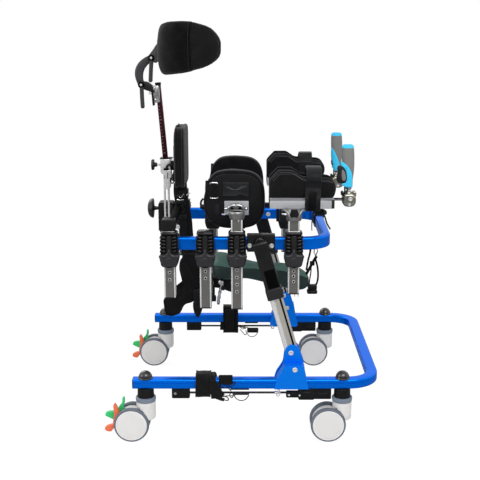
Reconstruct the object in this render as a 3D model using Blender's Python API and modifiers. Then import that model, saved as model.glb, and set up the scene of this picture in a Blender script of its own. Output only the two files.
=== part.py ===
# Pediatric walker (gait trainer) as an assembly of its separate pieces.
# Metres. +X is forward, +Y is the user's left, +Z is up, and the floor is z = 0.
# The origin lies on the floor under the middle of the walker.

import math

import bmesh
import bpy
from mathutils import Matrix, Vector

# Fits between pieces
GAP = 0.0003
SLIDE = 0.0004
TURN = 0.0003

# Base frame, a U tube that is open at the rear
BASE_HALF_TRACK = 0.310
BASE_WIDTH = 0.032
BASE_HEIGHT = 0.028
BASE_Z = 0.168
BASE_REAR_X = -0.308
BASE_FRONT_X = 0.3927
BASE_BEND = 0.075
TUBE_ROUND = 0.005

# Casters
CASTER_REAR_X = -0.274
CASTER_FRONT_X = 0.285
CASTER_TRAIL = 0.040
WHEEL_RADIUS = 0.050
WHEEL_WIDTH = 0.017
CASTER_WIDTH = 0.065
COVER_RADIUS = 0.0435
AXLE_RADIUS = 0.004
STEM_RADIUS = 0.006
DOME_RADIUS = 0.020
SOCKET_RADIUS = 0.0235
SOCKET_HEIGHT = 0.026
COLLAR_RADIUS = 0.0285
COLLAR_HEIGHT = 0.0135
HOUSING_RADIUS = 0.0270
HOUSING_HEIGHT = 0.052
HOOD_RADIUS = 0.0445
HOOD_WALL = 0.0025
PEDAL_PIN_X = -0.030
PEDAL_PIN_Z = 0.010
PEDAL_PIN_RADIUS = 0.003
PEDAL_HUB = 0.008

# Upper rail, a level U tube that is closed in front
RAIL_WIDTH = 0.025
RAIL_HEIGHT = 0.036
RAIL_Z = 0.556
RAIL_REAR_X = -0.2273
RAIL_FRONT_X = 0.2547
RAIL_BEND = 0.066

# Telescopic legs, which lean to the rear
LEG_LEAN = math.radians(16.2)
LEG_FOOT_X = 0.1657
LEG_DEPTH = 0.037
LEG_WIDTH = 0.030
LEG_FOOT = -0.008
LEG_TOP = 0.365
GROOVE_OFFSET = 0.0105
GROOVE_WIDTH = 0.0025
GROOVE_DEPTH = 0.003
SLEEVE_WALL = 0.0025
SLEEVE_BOTTOM = 0.272
SLEEVE_TOP = 0.434
COLLAR_BOTTOM = 0.250
COLLAR_TOP = 0.281
COLLAR_WALL = 0.0045
TEE_LENGTH = 0.079
TEE_HEIGHT = 0.051
TEE_Z = 0.5625

# Leg brackets on the base tubes
BRACKET_PLATE = 0.0034
SADDLE_TOP = 0.222
BRACKET_TOP = 0.2745
TONGUE_RADIUS = 0.021
WEB_DROP = 0.003

# Places across the walker: each leg stands inside its bracket, each rail run inside its tee plate
TEE_THICK = 0.0172
POST_OFFSET = 0.033
CLAMP_FRONT = 0.025
LEG_Y = BASE_HALF_TRACK - BASE_WIDTH / 2 - 2 * GAP - BRACKET_PLATE - LEG_WIDTH / 2
RAIL_HALF = LEG_Y - LEG_WIDTH / 2 - TEE_THICK - GAP - RAIL_WIDTH / 2
POST_Y = RAIL_HALF + POST_OFFSET

# Posts and the clamps that carry them on the rail
POST_SIDE = 0.03175
CLAMP_X = {"a": -0.2022, "b": -0.1021, "c": -0.0140, "d": 0.1449}
CLAMP_HALF = 0.0270
CLAMP_TOP = 0.607
CLAMP_BOTTOM = 0.499
CLAMP_OUTER_Y = POST_Y + CLAMP_FRONT
JAW_WALL = 0.007
BUTTON_RADIUS = 0.0115
BUTTON_Z = 0.5225
BUTTON_HEIGHT = 0.0065
POST_FOOT = {"a": 0.4066, "b": 0.3771, "c": 0.3742, "d": 0.4184}
SPIGOT_RADIUS = 0.012
RING_RADIUS = 0.022

# Rear support: crossbar on the two rear posts, with the housing of the back bar
CROSSBAR_HEIGHT = 0.025
CROSSBAR_WIDTH = 0.017
CROSSBAR_STEP = 0.0010
HOUSING_X = (-0.2565, -0.2095)
HOUSING_Y = (-0.0255, 0.0255)
HOUSING_Z = (0.549, 0.636)
BAR_X = -0.2300
BAR_WIDTH = 0.0180
BAR_THICK = 0.0080
BAR_Y = -0.0195
BAR_FOOT_Z = 0.560
BAR_SLOT = 0.006
BLOCK_X = (-0.2475, -0.2165)
BLOCK_Y = (-0.0235, 0.0125)
BLOCK_Z = (0.723, 0.769)
BACK_PAD_X = (-0.203, -0.169)
BACK_PAD_HALF = 0.100
BACK_PAD_Z = (0.690, 0.866)
KNOB_RADIUS = 0.030
KNOB_Z = 0.615
STAR_RADIUS = 0.016
STAR_Z = 0.749

# Head support
POST_LEAN = math.radians(4.6)
HEAD_POST_SIDE = 0.015
HEAD_POST_X = -0.2337
HEAD_POST_BOTTOM = -0.042
HEAD_POST_LENGTH = 0.225
PIVOT_LOW = (-0.2995, 0.989)
PIVOT_HIGH = (-0.2681, 1.067)
HEAD_PIN = 0.003
HEAD_ARM_HALF = 0.008
HEAD_CHEEK = 0.004
HEAD_EYE = 0.011
HEAD_PAD_HALF = 0.115
HEAD_PAD_THICK = 0.045
HEAD_PAD_REAR_X = -0.250
HEAD_PAD_TIP_X = -0.069
HEAD_PAD_Z = (1.022, 1.172)

# Chest pads
CHEST_PAD_Y = (POST_Y - 0.128, POST_Y - 0.078)
CHEST_PLATE = 0.004
CHEST_RING_Z = 0.6325
CHEST_RING_HEIGHT = 0.022

# Forearm supports
CHANNEL_X = (0.0775, 0.2560)
CHANNEL_Y = (POST_Y - 0.111, POST_Y - 0.001)
CHANNEL_TOP = 0.6865
CHANNEL_HEIGHT = 0.0265
CHANNEL_WALL = 0.004
ARM_RING_Z = CHANNEL_TOP - 0.058
TROUGH_Y = POST_Y - 0.066
TROUGH_HALF = 0.0415
GUTTER_RADIUS = 0.0275
GUTTER_Z = CHANNEL_TOP + 0.050
ROD_RADIUS = 0.0035
ROD_Y = POST_Y - 0.090
ROD_Z = CHANNEL_TOP - 0.015
ROD_END_X = 0.318
GRIP_X = 0.3060
GRIP_BLOCK_HALF = 0.0194

# Seat on the two posts behind it
SEAT_TUBE_RADIUS = 0.0125
SEAT_TUBE_Z = POST_FOOT["b"] + 0.0099
SEAT_BASE_Z = SEAT_TUBE_Z + 0.013
SEAT_BRACKET_HALF = 0.030
SEAT_POST_TOP = 0.575

# Ankle rods and cuffs
ANKLE_ROD_RADIUS = 0.003
ANKLE_ROD_Z = 0.138
ANKLE_REAR_X = (-0.1992, -0.1484)
ANKLE_FRONT_X = (0.1252, 0.2537)
ANKLE_BLOCK_HALF = 0.011
CUFF_LENGTH = 0.062
CUFF_X = {"right": -0.0990, "left": -0.0440}
CUFF_WALL = 0.007
CUFF_BOTTOM = 0.1215
CUFF_TOP = 0.1990

SIDES = {"right": -1, "left": 1}

COLOURS = {
    "blue_paint": ((0.005, 0.100, 0.640), 0.30, 0.6),
    "black_plastic": ((0.018, 0.018, 0.020), 0.55, 0.0),
    "grey_plastic": ((0.200, 0.215, 0.240), 0.50, 0.0),
    "pale_plastic": ((0.760, 0.755, 0.740), 0.45, 0.0),
    "green_plastic": ((0.060, 0.600, 0.240), 0.45, 0.0),
    "orange_plastic": ((0.900, 0.160, 0.060), 0.45, 0.0),
    "silver_metal": ((0.620, 0.610, 0.590), 0.30, 1.0),
    "bright_metal": ((0.780, 0.780, 0.790), 0.18, 1.0),
    "wine_metal": ((0.060, 0.006, 0.014), 0.30, 0.8),
    "black_fabric": ((0.012, 0.012, 0.014), 0.85, 0.0),
    "seat_green": ((0.030, 0.085, 0.070), 0.55, 0.0),
    "grip_grey": ((0.140, 0.140, 0.140), 0.60, 0.0),
}


# Scene and small helpers

def clear_scene():
    for item in list(bpy.data.objects):
        bpy.data.objects.remove(item, do_unlink=True)


def new_collection(name):
    group = bpy.data.collections.new(name)
    bpy.context.scene.collection.children.link(group)
    return group


def new_material(name):
    colour, roughness, metallic = COLOURS[name]
    surface = bpy.data.materials.new(name)
    surface.use_nodes = True
    shader = surface.node_tree.nodes["Principled BSDF"]
    shader.inputs["Base Color"].default_value = (*colour, 1.0)
    shader.inputs["Roughness"].default_value = roughness
    shader.inputs["Metallic"].default_value = metallic
    return surface


def add_object(name, mesh):
    item = bpy.data.objects.new(name, mesh)
    PARTS.objects.link(item)
    return item


def from_bmesh(build):
    mesh = bpy.data.meshes.new("shape")
    bmesh.ops.recalc_face_normals(build, faces=build.faces)
    build.to_mesh(mesh)
    build.free()
    return add_object("shape", mesh)


def bake(item):
    """Apply the modifiers, or turn the curve into a mesh with its caps welded on."""
    bpy.context.view_layer.update()
    graph = bpy.context.evaluated_depsgraph_get()
    mesh = bpy.data.meshes.new_from_object(item.evaluated_get(graph))
    build = bmesh.new()
    build.from_mesh(mesh)
    bmesh.ops.remove_doubles(build, verts=build.verts, dist=0.000002)
    build.to_mesh(mesh)
    build.free()
    baked = add_object("shape", mesh)
    baked.matrix_world = item.matrix_world
    bpy.data.objects.remove(item, do_unlink=True)
    return baked


def move(item, matrix):
    item.data.transform(matrix)
    if matrix.determinant() < 0:
        item.data.flip_normals()
    return item


def boolean(item, tools, operation):
    for tool in tools:
        CUTTERS.objects.link(tool)
        PARTS.objects.unlink(tool)
        tool.hide_render = True
        tool.display_type = "WIRE"
        step = item.modifiers.new(operation.lower(), "BOOLEAN")
        step.operation = operation
        step.solver = "EXACT"
        step.object = tool
    baked = bake(item)
    for tool in tools:
        bpy.data.objects.remove(tool, do_unlink=True)
    return baked


def join(item, *tools):
    return boolean(item, tools, "UNION")


def cut(item, *tools):
    return boolean(item, tools, "DIFFERENCE")


def rounded(item, width, segments=2, angle=50):
    step = item.modifiers.new("bevel", "BEVEL")
    step.width = width
    step.segments = segments
    step.limit_method = "ANGLE"
    step.angle_limit = math.radians(angle)
    return bake(item)


def box(x, y, z):
    build = bmesh.new()
    bmesh.ops.create_cube(build, size=1.0)
    spans = [sorted(pair) for pair in (x, y, z)]
    size = [high - low for low, high in spans]
    centre = [(low + high) / 2 for low, high in spans]
    build.transform(Matrix.Translation(centre) @ Matrix.Diagonal((*size, 1.0)))
    return from_bmesh(build)


AXIS_TURNS = {
    "x": Matrix.Rotation(math.radians(90), 4, "Y"),
    "y": Matrix.Rotation(math.radians(-90), 4, "X"),
    "z": Matrix.Identity(4),
}


def cylinder(axis, centre, radius, low, high, steps=24):
    """A round bar along one axis. centre holds the other two coordinates in x, y, z order."""
    build = bmesh.new()
    bmesh.ops.create_cone(build, cap_ends=True, segments=steps, radius1=radius, radius2=radius,
                          depth=high - low)
    build.transform(AXIS_TURNS[axis])
    place = list(centre)
    place.insert("xyz".index(axis), (low + high) / 2)
    build.transform(Matrix.Translation(place))
    return from_bmesh(build)


def prism(points, axis, low, high):
    """A flat outline with thickness. Along y the points are (x, z), along z they are (x, y)."""
    curve = bpy.data.curves.new("outline", "CURVE")
    curve.dimensions = "2D"
    curve.fill_mode = "BOTH"
    curve.extrude = (high - low) / 2
    spline = curve.splines.new("POLY")
    spline.points.add(len(points) - 1)
    for point, place in zip(spline.points, points):
        point.co = (*place, 0.0, 1.0)
    spline.use_cyclic_u = True
    solid = bake(add_object("outline", curve))
    middle = (low + high) / 2
    if axis == "y":
        turn = Matrix.Rotation(math.radians(90), 4, "X")
        return move(solid, Matrix.Translation((0, middle, 0)) @ turn)
    return move(solid, Matrix.Translation((0, 0, middle)))


def turned(profile, steps=24):
    """A turned shape about z from (radius, height) points that run down its outer side."""
    mesh = bpy.data.meshes.new("profile")
    points = [(radius, 0.0, height) for radius, height in profile]
    mesh.from_pydata(points, [(i, i + 1) for i in range(len(points) - 1)], [])
    item = add_object("profile", mesh)
    step = item.modifiers.new("screw", "SCREW")
    step.steps = steps
    step.render_steps = steps
    step.use_merge_vertices = True
    step.merge_threshold = 0.0001
    return bake(item)


def loft(rings):
    """Skin rings of equal point counts and close both ends."""
    build = bmesh.new()
    rows = [[build.verts.new(point) for point in ring] for ring in rings]
    count = len(rows[0])
    for lower, upper in zip(rows, rows[1:]):
        for i in range(count):
            after = (i + 1) % count
            build.faces.new((lower[i], lower[after], upper[after], upper[i]))
    build.faces.new(list(reversed(rows[0])))
    build.faces.new(rows[-1])
    return from_bmesh(build)


def superellipse(half_a, half_b, count, power=2.5):
    points = []
    for i in range(count):
        angle = 2 * math.pi * (i + 0.5) / count
        cosine = math.cos(angle)
        sine = math.sin(angle)
        reach = (abs(cosine) ** power + abs(sine) ** power) ** (-1 / power)
        points.append((half_a * reach * cosine, half_b * reach * sine))
    return points


def smooth_loop(points, parts):
    """A closed Catmull-Rom curve through the given points."""
    result = []
    count = len(points)
    for i in range(count):
        corner = [Vector(points[(i + k - 1) % count]) for k in range(4)]
        for j in range(parts):
            t = j / parts
            place = (2 * corner[1] + (corner[2] - corner[0]) * t
                     + (2 * corner[0] - 5 * corner[1] + 4 * corner[2] - corner[3]) * t ** 2
                     + (3 * corner[1] - corner[0] - 3 * corner[2] + corner[3]) * t ** 3) / 2
            result.append(tuple(place))
    return result


def pillow(outline, layers, place):
    """A cushion: copies of one outline, each scaled about its middle and set at its depth."""
    middle = Vector((sum(p[0] for p in outline), sum(p[1] for p in outline))) / len(outline)
    rings = []
    for scale, depth in layers:
        ring = []
        for point in outline:
            flat = middle + (Vector(point) - middle) * scale
            ring.append(place(flat.x, flat.y, depth))
        rings.append(ring)
    return loft(rings)


def arc(centre, radius, start, end, steps):
    points = []
    for i in range(steps + 1):
        angle = math.radians(start + (end - start) * i / steps)
        points.append((centre[0] + radius * math.cos(angle), centre[1] + radius * math.sin(angle)))
    return points


def finish(item, name, colour, pivot, parent=None):
    """Name a piece, put its origin on its pivot and hang it on the piece that carries it."""
    item.data.transform(item.matrix_world)
    item.matrix_world = Matrix.Translation(pivot)
    item.data.transform(Matrix.Translation(-Vector(pivot)))
    item.name = name
    item.data.name = name
    item.data.materials.clear()
    item.data.materials.append(MATERIALS[colour])
    item.data.shade_smooth()
    item.data.set_sharp_from_angle(angle=math.radians(35))
    if parent is not None:
        bpy.context.view_layer.update()
        item.parent = parent
        item.matrix_parent_inverse = parent.matrix_world.inverted()
    return item


# Base frame and casters

def u_line(rear, front, half, radius, steps):
    line = [(rear, -half)]
    line += arc((front - radius, radius - half), radius, -90, 0, steps)
    line += arc((front - radius, half - radius), radius, 0, 90, steps)
    line.append((rear, half))
    return line


def u_tube(rear, front, half, width, height, bend, middle_z):
    outer = u_line(rear, front, half + width / 2, bend + width / 2, 8)
    inner = u_line(rear, front - width, half - width / 2, bend - width / 2, 8)
    bar = prism(outer + inner[::-1], "z", middle_z - height / 2, middle_z + height / 2)
    return rounded(bar, TUBE_ROUND)


def stem_places():
    for row, x in (("rear", CASTER_REAR_X), ("front", CASTER_FRONT_X)):
        for side, sign in SIDES.items():
            yield row + "_" + side, x, sign * BASE_HALF_TRACK


def base_frame():
    bar = u_tube(BASE_REAR_X, BASE_FRONT_X, BASE_HALF_TRACK, BASE_WIDTH, BASE_HEIGHT, BASE_BEND,
                 BASE_Z)
    bores = []
    for _, x, y in stem_places():
        bores.append(cylinder("z", (x, y), STEM_RADIUS + GAP, BASE_Z - BASE_HEIGHT,
                              BASE_Z + BASE_HEIGHT, 16))
    return finish(cut(bar, *bores), "base_frame", "blue_paint", (0, 0, BASE_Z))


def socket_bottom():
    return BASE_Z - BASE_HEIGHT / 2 - GAP - SOCKET_HEIGHT


def caster_stem(name, x, y, base):
    tube_top = BASE_Z + BASE_HEIGHT / 2 + GAP
    tube_bottom = BASE_Z - BASE_HEIGHT / 2 - GAP
    dome = [(radius, tube_top + height) for radius, height in arc((0, 0), DOME_RADIUS, 90, 0, 4)]
    dome[0] = (0.0, dome[0][1])
    low = socket_bottom()
    profile = dome + [
        (STEM_RADIUS, tube_top),
        (STEM_RADIUS, tube_bottom),
        (SOCKET_RADIUS - 0.001, tube_bottom),
        (SOCKET_RADIUS, low),
        (STEM_RADIUS, low),
        (STEM_RADIUS, low - COLLAR_HEIGHT - 0.012),
        (0.0, low - COLLAR_HEIGHT - 0.012),
    ]
    stem = move(turned(profile, 16), Matrix.Translation((x, y, 0)))
    return finish(stem, "caster_stem_" + name, "black_plastic", (x, y, BASE_Z), base)


def caster_fork(name, x, y, base, with_pedals):
    top = socket_bottom() - GAP
    collar_low = top - COLLAR_HEIGHT
    axle_x = x - CASTER_TRAIL
    inner_half = CASTER_WIDTH / 2 - WHEEL_WIDTH
    hood_half = inner_half - 2 * GAP
    fork = cylinder("z", (x, y), COLLAR_RADIUS, collar_low, top)
    fork = join(fork, cylinder("z", (x, y), HOUSING_RADIUS, collar_low - HOUSING_HEIGHT,
                               collar_low + GAP))
    fork = join(fork, cylinder("y", (axle_x, WHEEL_RADIUS), HOOD_RADIUS, y - inner_half,
                               y + inner_half, 32))
    hollows = [
        cylinder("z", (x, y), STEM_RADIUS + TURN, collar_low - 0.012 - 2 * GAP, top + GAP, 16),
        cylinder("y", (axle_x, WHEEL_RADIUS), AXLE_RADIUS + TURN, y - CASTER_WIDTH, y + CASTER_WIDTH,
                 16),
    ]
    for sign in (-1, 1):
        ends = sorted((y + sign * hood_half, y + sign * CASTER_WIDTH))
        hollows.append(cylinder("y", (axle_x, WHEEL_RADIUS), WHEEL_RADIUS + 8 * GAP, *ends, 32))
    if with_pedals:
        slot_half = hood_half - HOOD_WALL
        hollows.append(box((axle_x - 2 * HOOD_RADIUS, axle_x + PEDAL_PIN_X + PEDAL_HUB + 0.004),
                           (y - slot_half, y + slot_half), (0.0, WHEEL_RADIUS + 2 * HOOD_RADIUS)))
    fork = cut(fork, *hollows)
    if with_pedals:
        pin = (axle_x + PEDAL_PIN_X, WHEEL_RADIUS + PEDAL_PIN_Z)
        fork = join(fork, cylinder("y", pin, PEDAL_PIN_RADIUS, y - hood_half + GAP,
                                   y + hood_half - GAP, 12))
    return finish(fork, "caster_fork_" + name, "pale_plastic", (x, y, top), base)


def caster_wheels(name, x, y, fork):
    """Two wheels on one axle, turned as a single closed profile along the axle."""
    outer = CASTER_WIDTH / 2
    inner = outer - WHEEL_WIDTH
    half = [
        (0.0, outer),
        (COVER_RADIUS, outer),
        (COVER_RADIUS + 0.001, outer - 0.0015),
        (WHEEL_RADIUS - 0.002, outer - 0.003),
        (WHEEL_RADIUS, outer - 0.006),
        (WHEEL_RADIUS, inner + 0.004),
        (WHEEL_RADIUS - 0.002, inner),
        (AXLE_RADIUS, inner),
    ]
    profile = half + [(radius, -height) for radius, height in reversed(half)]
    turn = Matrix.Rotation(math.radians(-90), 4, "X")
    centre = (x - CASTER_TRAIL, y, WHEEL_RADIUS)
    pair = move(turned(profile, 24), Matrix.Translation(centre) @ turn)
    return finish(pair, "caster_wheels_" + name, "grey_plastic", centre, fork)


# Pedal outlines as (x, z) from the wheel axle. Each is one rocker with two treads.
BRAKE_OUTLINE = [
    (-0.0279, 0.0726), (-0.0211, 0.0726), (-0.0207, 0.0556), (-0.0260, 0.0440), (-0.0220, 0.0180),
    (-0.0220, 0.0050), (-0.0300, 0.0020), (-0.0500, 0.0020), (-0.0617, 0.0084), (-0.0688, 0.0118),
    (-0.0770, 0.0155), (-0.0787, 0.0205), (-0.0743, 0.0274), (-0.0639, 0.0296), (-0.0460, 0.0300),
    (-0.0400, 0.0415), (-0.0279, 0.0556),
]
LOCK_OUTLINE = [
    (-0.0480, 0.0587), (-0.0439, 0.0542), (-0.0384, 0.0402), (-0.0366, 0.0341), (-0.0300, 0.0185),
    (-0.0220, 0.0130), (-0.0220, 0.0050), (-0.0300, 0.0015), (-0.0450, -0.0100), (-0.0534, -0.0176),
    (-0.0563, -0.0207), (-0.0597, -0.0269), (-0.0720, -0.0262), (-0.0787, -0.0207),
    (-0.0787, -0.0143), (-0.0705, -0.0087), (-0.0633, -0.0057), (-0.0544, -0.0057),
    (-0.0549, 0.0045), (-0.0507, 0.0201), (-0.0511, 0.0356), (-0.0533, 0.0536),
]


def caster_pedal(kind, name, x, y, fork):
    outline, colour, sign = {
        "brake": (BRAKE_OUTLINE, "green_plastic", 1),
        "lock": (LOCK_OUTLINE, "orange_plastic", -1),
    }[kind]
    axle_x = x - CASTER_TRAIL
    points = [(axle_x + px, WHEEL_RADIUS + pz) for px, pz in outline]
    slot_half = CASTER_WIDTH / 2 - WHEEL_WIDTH - 2 * GAP - HOOD_WALL
    ends = sorted((y + sign * GAP, y + sign * (slot_half - GAP)))
    pedal = prism(points, "y", *ends)
    pin = (axle_x + PEDAL_PIN_X, WHEEL_RADIUS + PEDAL_PIN_Z)
    pedal = cut(pedal, cylinder("y", pin, PEDAL_PIN_RADIUS + TURN, y - CASTER_WIDTH,
                                y + CASTER_WIDTH, 12))
    return finish(pedal, kind + "_pedal_" + name, colour, (pin[0], y, pin[1]), fork)


def casters(base):
    for name, x, y in stem_places():
        rear = name.startswith("rear")
        caster_stem(name, x, y, base)
        fork = caster_fork(name, x, y, base, rear)
        caster_wheels(name, x, y, fork)
        if rear:
            caster_pedal("brake", name, x, y, fork)
            caster_pedal("lock", name, x, y, fork)


# Legs

def leg_frame(sign):
    """Local axes of a leg: x across it, y outward, z up along it from the base tube's level."""
    foot = Matrix.Translation((LEG_FOOT_X, sign * LEG_Y, BASE_Z))
    return foot @ Matrix.Rotation(-LEG_LEAN, 4, "Y")


def leg_point(sign, along):
    return leg_frame(sign) @ Vector((0, 0, along))


def leg_tube(side, sign, base):
    tube = box((-LEG_DEPTH / 2, LEG_DEPTH / 2), (-LEG_WIDTH / 2, LEG_WIDTH / 2), (LEG_FOOT, LEG_TOP))
    tube = rounded(tube, 0.002, 1)
    grooves = []
    for face in (-1, 1):
        depth = sorted((face * (LEG_WIDTH / 2 - GROOVE_DEPTH), face * LEG_WIDTH))
        grooves.append(box((GROOVE_OFFSET, GROOVE_OFFSET + GROOVE_WIDTH), depth,
                           (LEG_FOOT - 0.01, LEG_TOP + 0.01)))
    tube = move(cut(tube, *grooves), leg_frame(sign))
    return finish(tube, "leg_tube_" + side, "silver_metal", leg_point(sign, 0), base)


def leg_bracket(side, sign, base):
    """A saddle over the base tube, and a plate on each side of the leg joined by a web under it."""
    inner = LEG_Y + LEG_WIDTH / 2 + GAP
    outer = BASE_HALF_TRACK + BASE_WIDTH / 2 + GAP + BRACKET_PLATE
    bottom = BASE_Z - BASE_HEIGHT / 2
    slope = math.tan(LEG_LEAN)
    front = [(LEG_FOOT_X + 0.0225, bottom), (LEG_FOOT_X + 0.0135, BASE_Z + 0.0286),
             (LEG_FOOT_X + 0.0099, SADDLE_TOP)]
    rear = [(LEG_FOOT_X - 0.0476, SADDLE_TOP), (LEG_FOOT_X - 0.0640, BASE_Z + 0.0230),
            (LEG_FOOT_X - 0.0747, bottom)]
    centre = (LEG_FOOT_X - slope * (BRACKET_TOP - BASE_Z) + 0.0082, BRACKET_TOP - TONGUE_RADIUS)
    lobe = arc(centre, TONGUE_RADIUS, 10, 172, 9)
    tongue_outline = [(LEG_FOOT_X + 0.0099, SADDLE_TOP - 0.006)] + lobe
    tongue_outline.append((LEG_FOOT_X - 0.0476, SADDLE_TOP - 0.006))
    saddle = prism(front + rear, "y", *sorted((sign * inner, sign * outer)))
    tongue = prism(tongue_outline, "y", *sorted((sign * inner, sign * (inner + BRACKET_PLATE))))
    far_face = LEG_Y - LEG_WIDTH / 2 - GAP
    far_plate = prism(front + lobe + rear, "y",
                      *sorted((sign * (far_face - BRACKET_PLATE), sign * far_face)))
    web = box((LEG_FOOT_X - 0.0600, LEG_FOOT_X + 0.0180),
              sorted((sign * (far_face - BRACKET_PLATE), sign * (inner + BRACKET_PLATE / 2))),
              (bottom - WEB_DROP, bottom + 0.0005))
    bracket = join(saddle, tongue, far_plate, web)
    slot = box((-1, 1), (sign * (BASE_HALF_TRACK - BASE_WIDTH / 2 - GAP),
                         sign * (BASE_HALF_TRACK + BASE_WIDTH / 2 + GAP)),
               (0, BASE_Z + BASE_HEIGHT / 2 + GAP))
    return finish(cut(bracket, slot), "leg_bracket_" + side, "blue_paint",
                  leg_point(sign, 0.05), base)


def leg_sleeve(side, sign, rail):
    """The outer tube with its collar below and the plate that bolts it to the rail."""
    deep = LEG_DEPTH / 2 + SLIDE
    wide = LEG_WIDTH / 2 + SLIDE
    frame = leg_frame(sign)
    tube = box((-deep - SLEEVE_WALL, deep + SLEEVE_WALL), (-wide - SLEEVE_WALL, wide + SLEEVE_WALL),
               (SLEEVE_BOTTOM, SLEEVE_TOP))
    tube = rounded(tube, 0.0018, 1)
    collar = box((-deep - COLLAR_WALL, deep + COLLAR_WALL), (-wide - COLLAR_WALL, wide + COLLAR_WALL),
                 (COLLAR_BOTTOM, COLLAR_TOP))
    collar = rounded(collar, 0.002, 1)
    tube = move(join(tube, collar), frame)
    plate_x = tee_x()
    plate_y = sorted((sign * (RAIL_HALF + RAIL_WIDTH / 2 + GAP), sign * (LEG_Y - LEG_WIDTH / 2)))
    plate = box(plate_x, plate_y, (TEE_Z - TEE_HEIGHT / 2, TEE_Z + TEE_HEIGHT / 2))
    tube = join(tube, rounded(plate, 0.002, 1))
    cavity = move(box((-deep, deep), (-wide, wide), (0, SLEEVE_TOP - 0.004)), frame)
    return finish(cut(tube, cavity), "leg_sleeve_" + side, "black_plastic",
                  leg_point(sign, COLLAR_BOTTOM), rail)


def tee_x():
    return (CLAMP_X["c"] + CLAMP_HALF + 0.001, CLAMP_X["c"] + CLAMP_HALF + 0.001 + TEE_LENGTH)


# Rail clamps and posts

def post_clamp(letter, side, sign, rail):
    """One block that grips the rail and guides the post outside it; b is closed on top."""
    x = CLAMP_X[letter]
    half = CLAMP_HALF
    outline = [
        (x - 0.0205, CLAMP_BOTTOM), (x + 0.0205, CLAMP_BOTTOM), (x + 0.0240, CLAMP_BOTTOM + 0.010),
        (x + half, CLAMP_BOTTOM + 0.021), (x + half, CLAMP_BOTTOM + 0.031),
        (x + half - 0.002, CLAMP_BOTTOM + 0.038), (x + half - 0.002, CLAMP_TOP - 0.005),
        (x + half - 0.006, CLAMP_TOP), (x - half + 0.006, CLAMP_TOP),
        (x - half + 0.002, CLAMP_TOP - 0.005), (x - half + 0.002, CLAMP_BOTTOM + 0.038),
        (x - half, CLAMP_BOTTOM + 0.031), (x - half, CLAMP_BOTTOM + 0.021),
        (x - 0.0240, CLAMP_BOTTOM + 0.010),
    ]
    rail_outer = RAIL_HALF + RAIL_WIDTH / 2 + SLIDE
    rail_inner = RAIL_HALF - RAIL_WIDTH / 2 - SLIDE
    guide_y = sorted((sign * (rail_outer + 0.0012), sign * CLAMP_OUTER_Y))
    guide = rounded(prism(outline, "y", *guide_y), 0.0025, 1)
    jaw = box((x - half + 0.003, x + half - 0.003),
              (sign * (rail_inner - JAW_WALL), sign * (rail_outer + 0.006)),
              (RAIL_Z - RAIL_HEIGHT / 2 - SLIDE - JAW_WALL, RAIL_Z + RAIL_HEIGHT / 2 + SLIDE + JAW_WALL))
    button_ends = sorted((sign * (CLAMP_OUTER_Y - 0.003), sign * (CLAMP_OUTER_Y + BUTTON_HEIGHT)))
    button = cylinder("y", (x, BUTTON_Z), BUTTON_RADIUS, *button_ends, 12)
    block = join(guide, rounded(jaw, 0.002, 1), button)
    window = box((x - 2 * half, x + 2 * half), (sign * rail_inner, sign * rail_outer),
                 (RAIL_Z - RAIL_HEIGHT / 2 - SLIDE, RAIL_Z + RAIL_HEIGHT / 2 + SLIDE))
    post_half = POST_SIDE / 2 + SLIDE
    bore_top = CLAMP_TOP - 0.004 if letter == "b" else CLAMP_TOP + 0.01
    bore = box((x - post_half, x + post_half),
               (sign * POST_Y - post_half, sign * POST_Y + post_half), (CLAMP_BOTTOM - 0.01, bore_top))
    return finish(cut(block, window, bore), "post_clamp_" + letter + "_" + side, "black_plastic",
                  (x, sign * POST_Y, RAIL_Z), rail)


def post_bar(letter, sign, top):
    x = CLAMP_X[letter]
    half = POST_SIDE / 2
    bar = box((x - half, x + half), (sign * POST_Y - half, sign * POST_Y + half),
              (POST_FOOT[letter], top))
    return rounded(bar, 0.002, 1)


def spigot_post(letter, side, sign, name, ring_z, ring_height, clamp):
    """A square post that ends in a round spigot for the ring above it."""
    x = CLAMP_X[letter]
    post = post_bar(letter, sign, ring_z - GAP)
    spigot = cylinder("z", (x, sign * POST_Y), SPIGOT_RADIUS, ring_z - 0.005,
                      ring_z + ring_height - 0.0035, 20)
    return finish(join(post, spigot), name + "_" + side, "silver_metal",
                  (x, sign * POST_Y, POST_FOOT[letter]), clamp)


# Rear support, back bar and back pad

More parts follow.
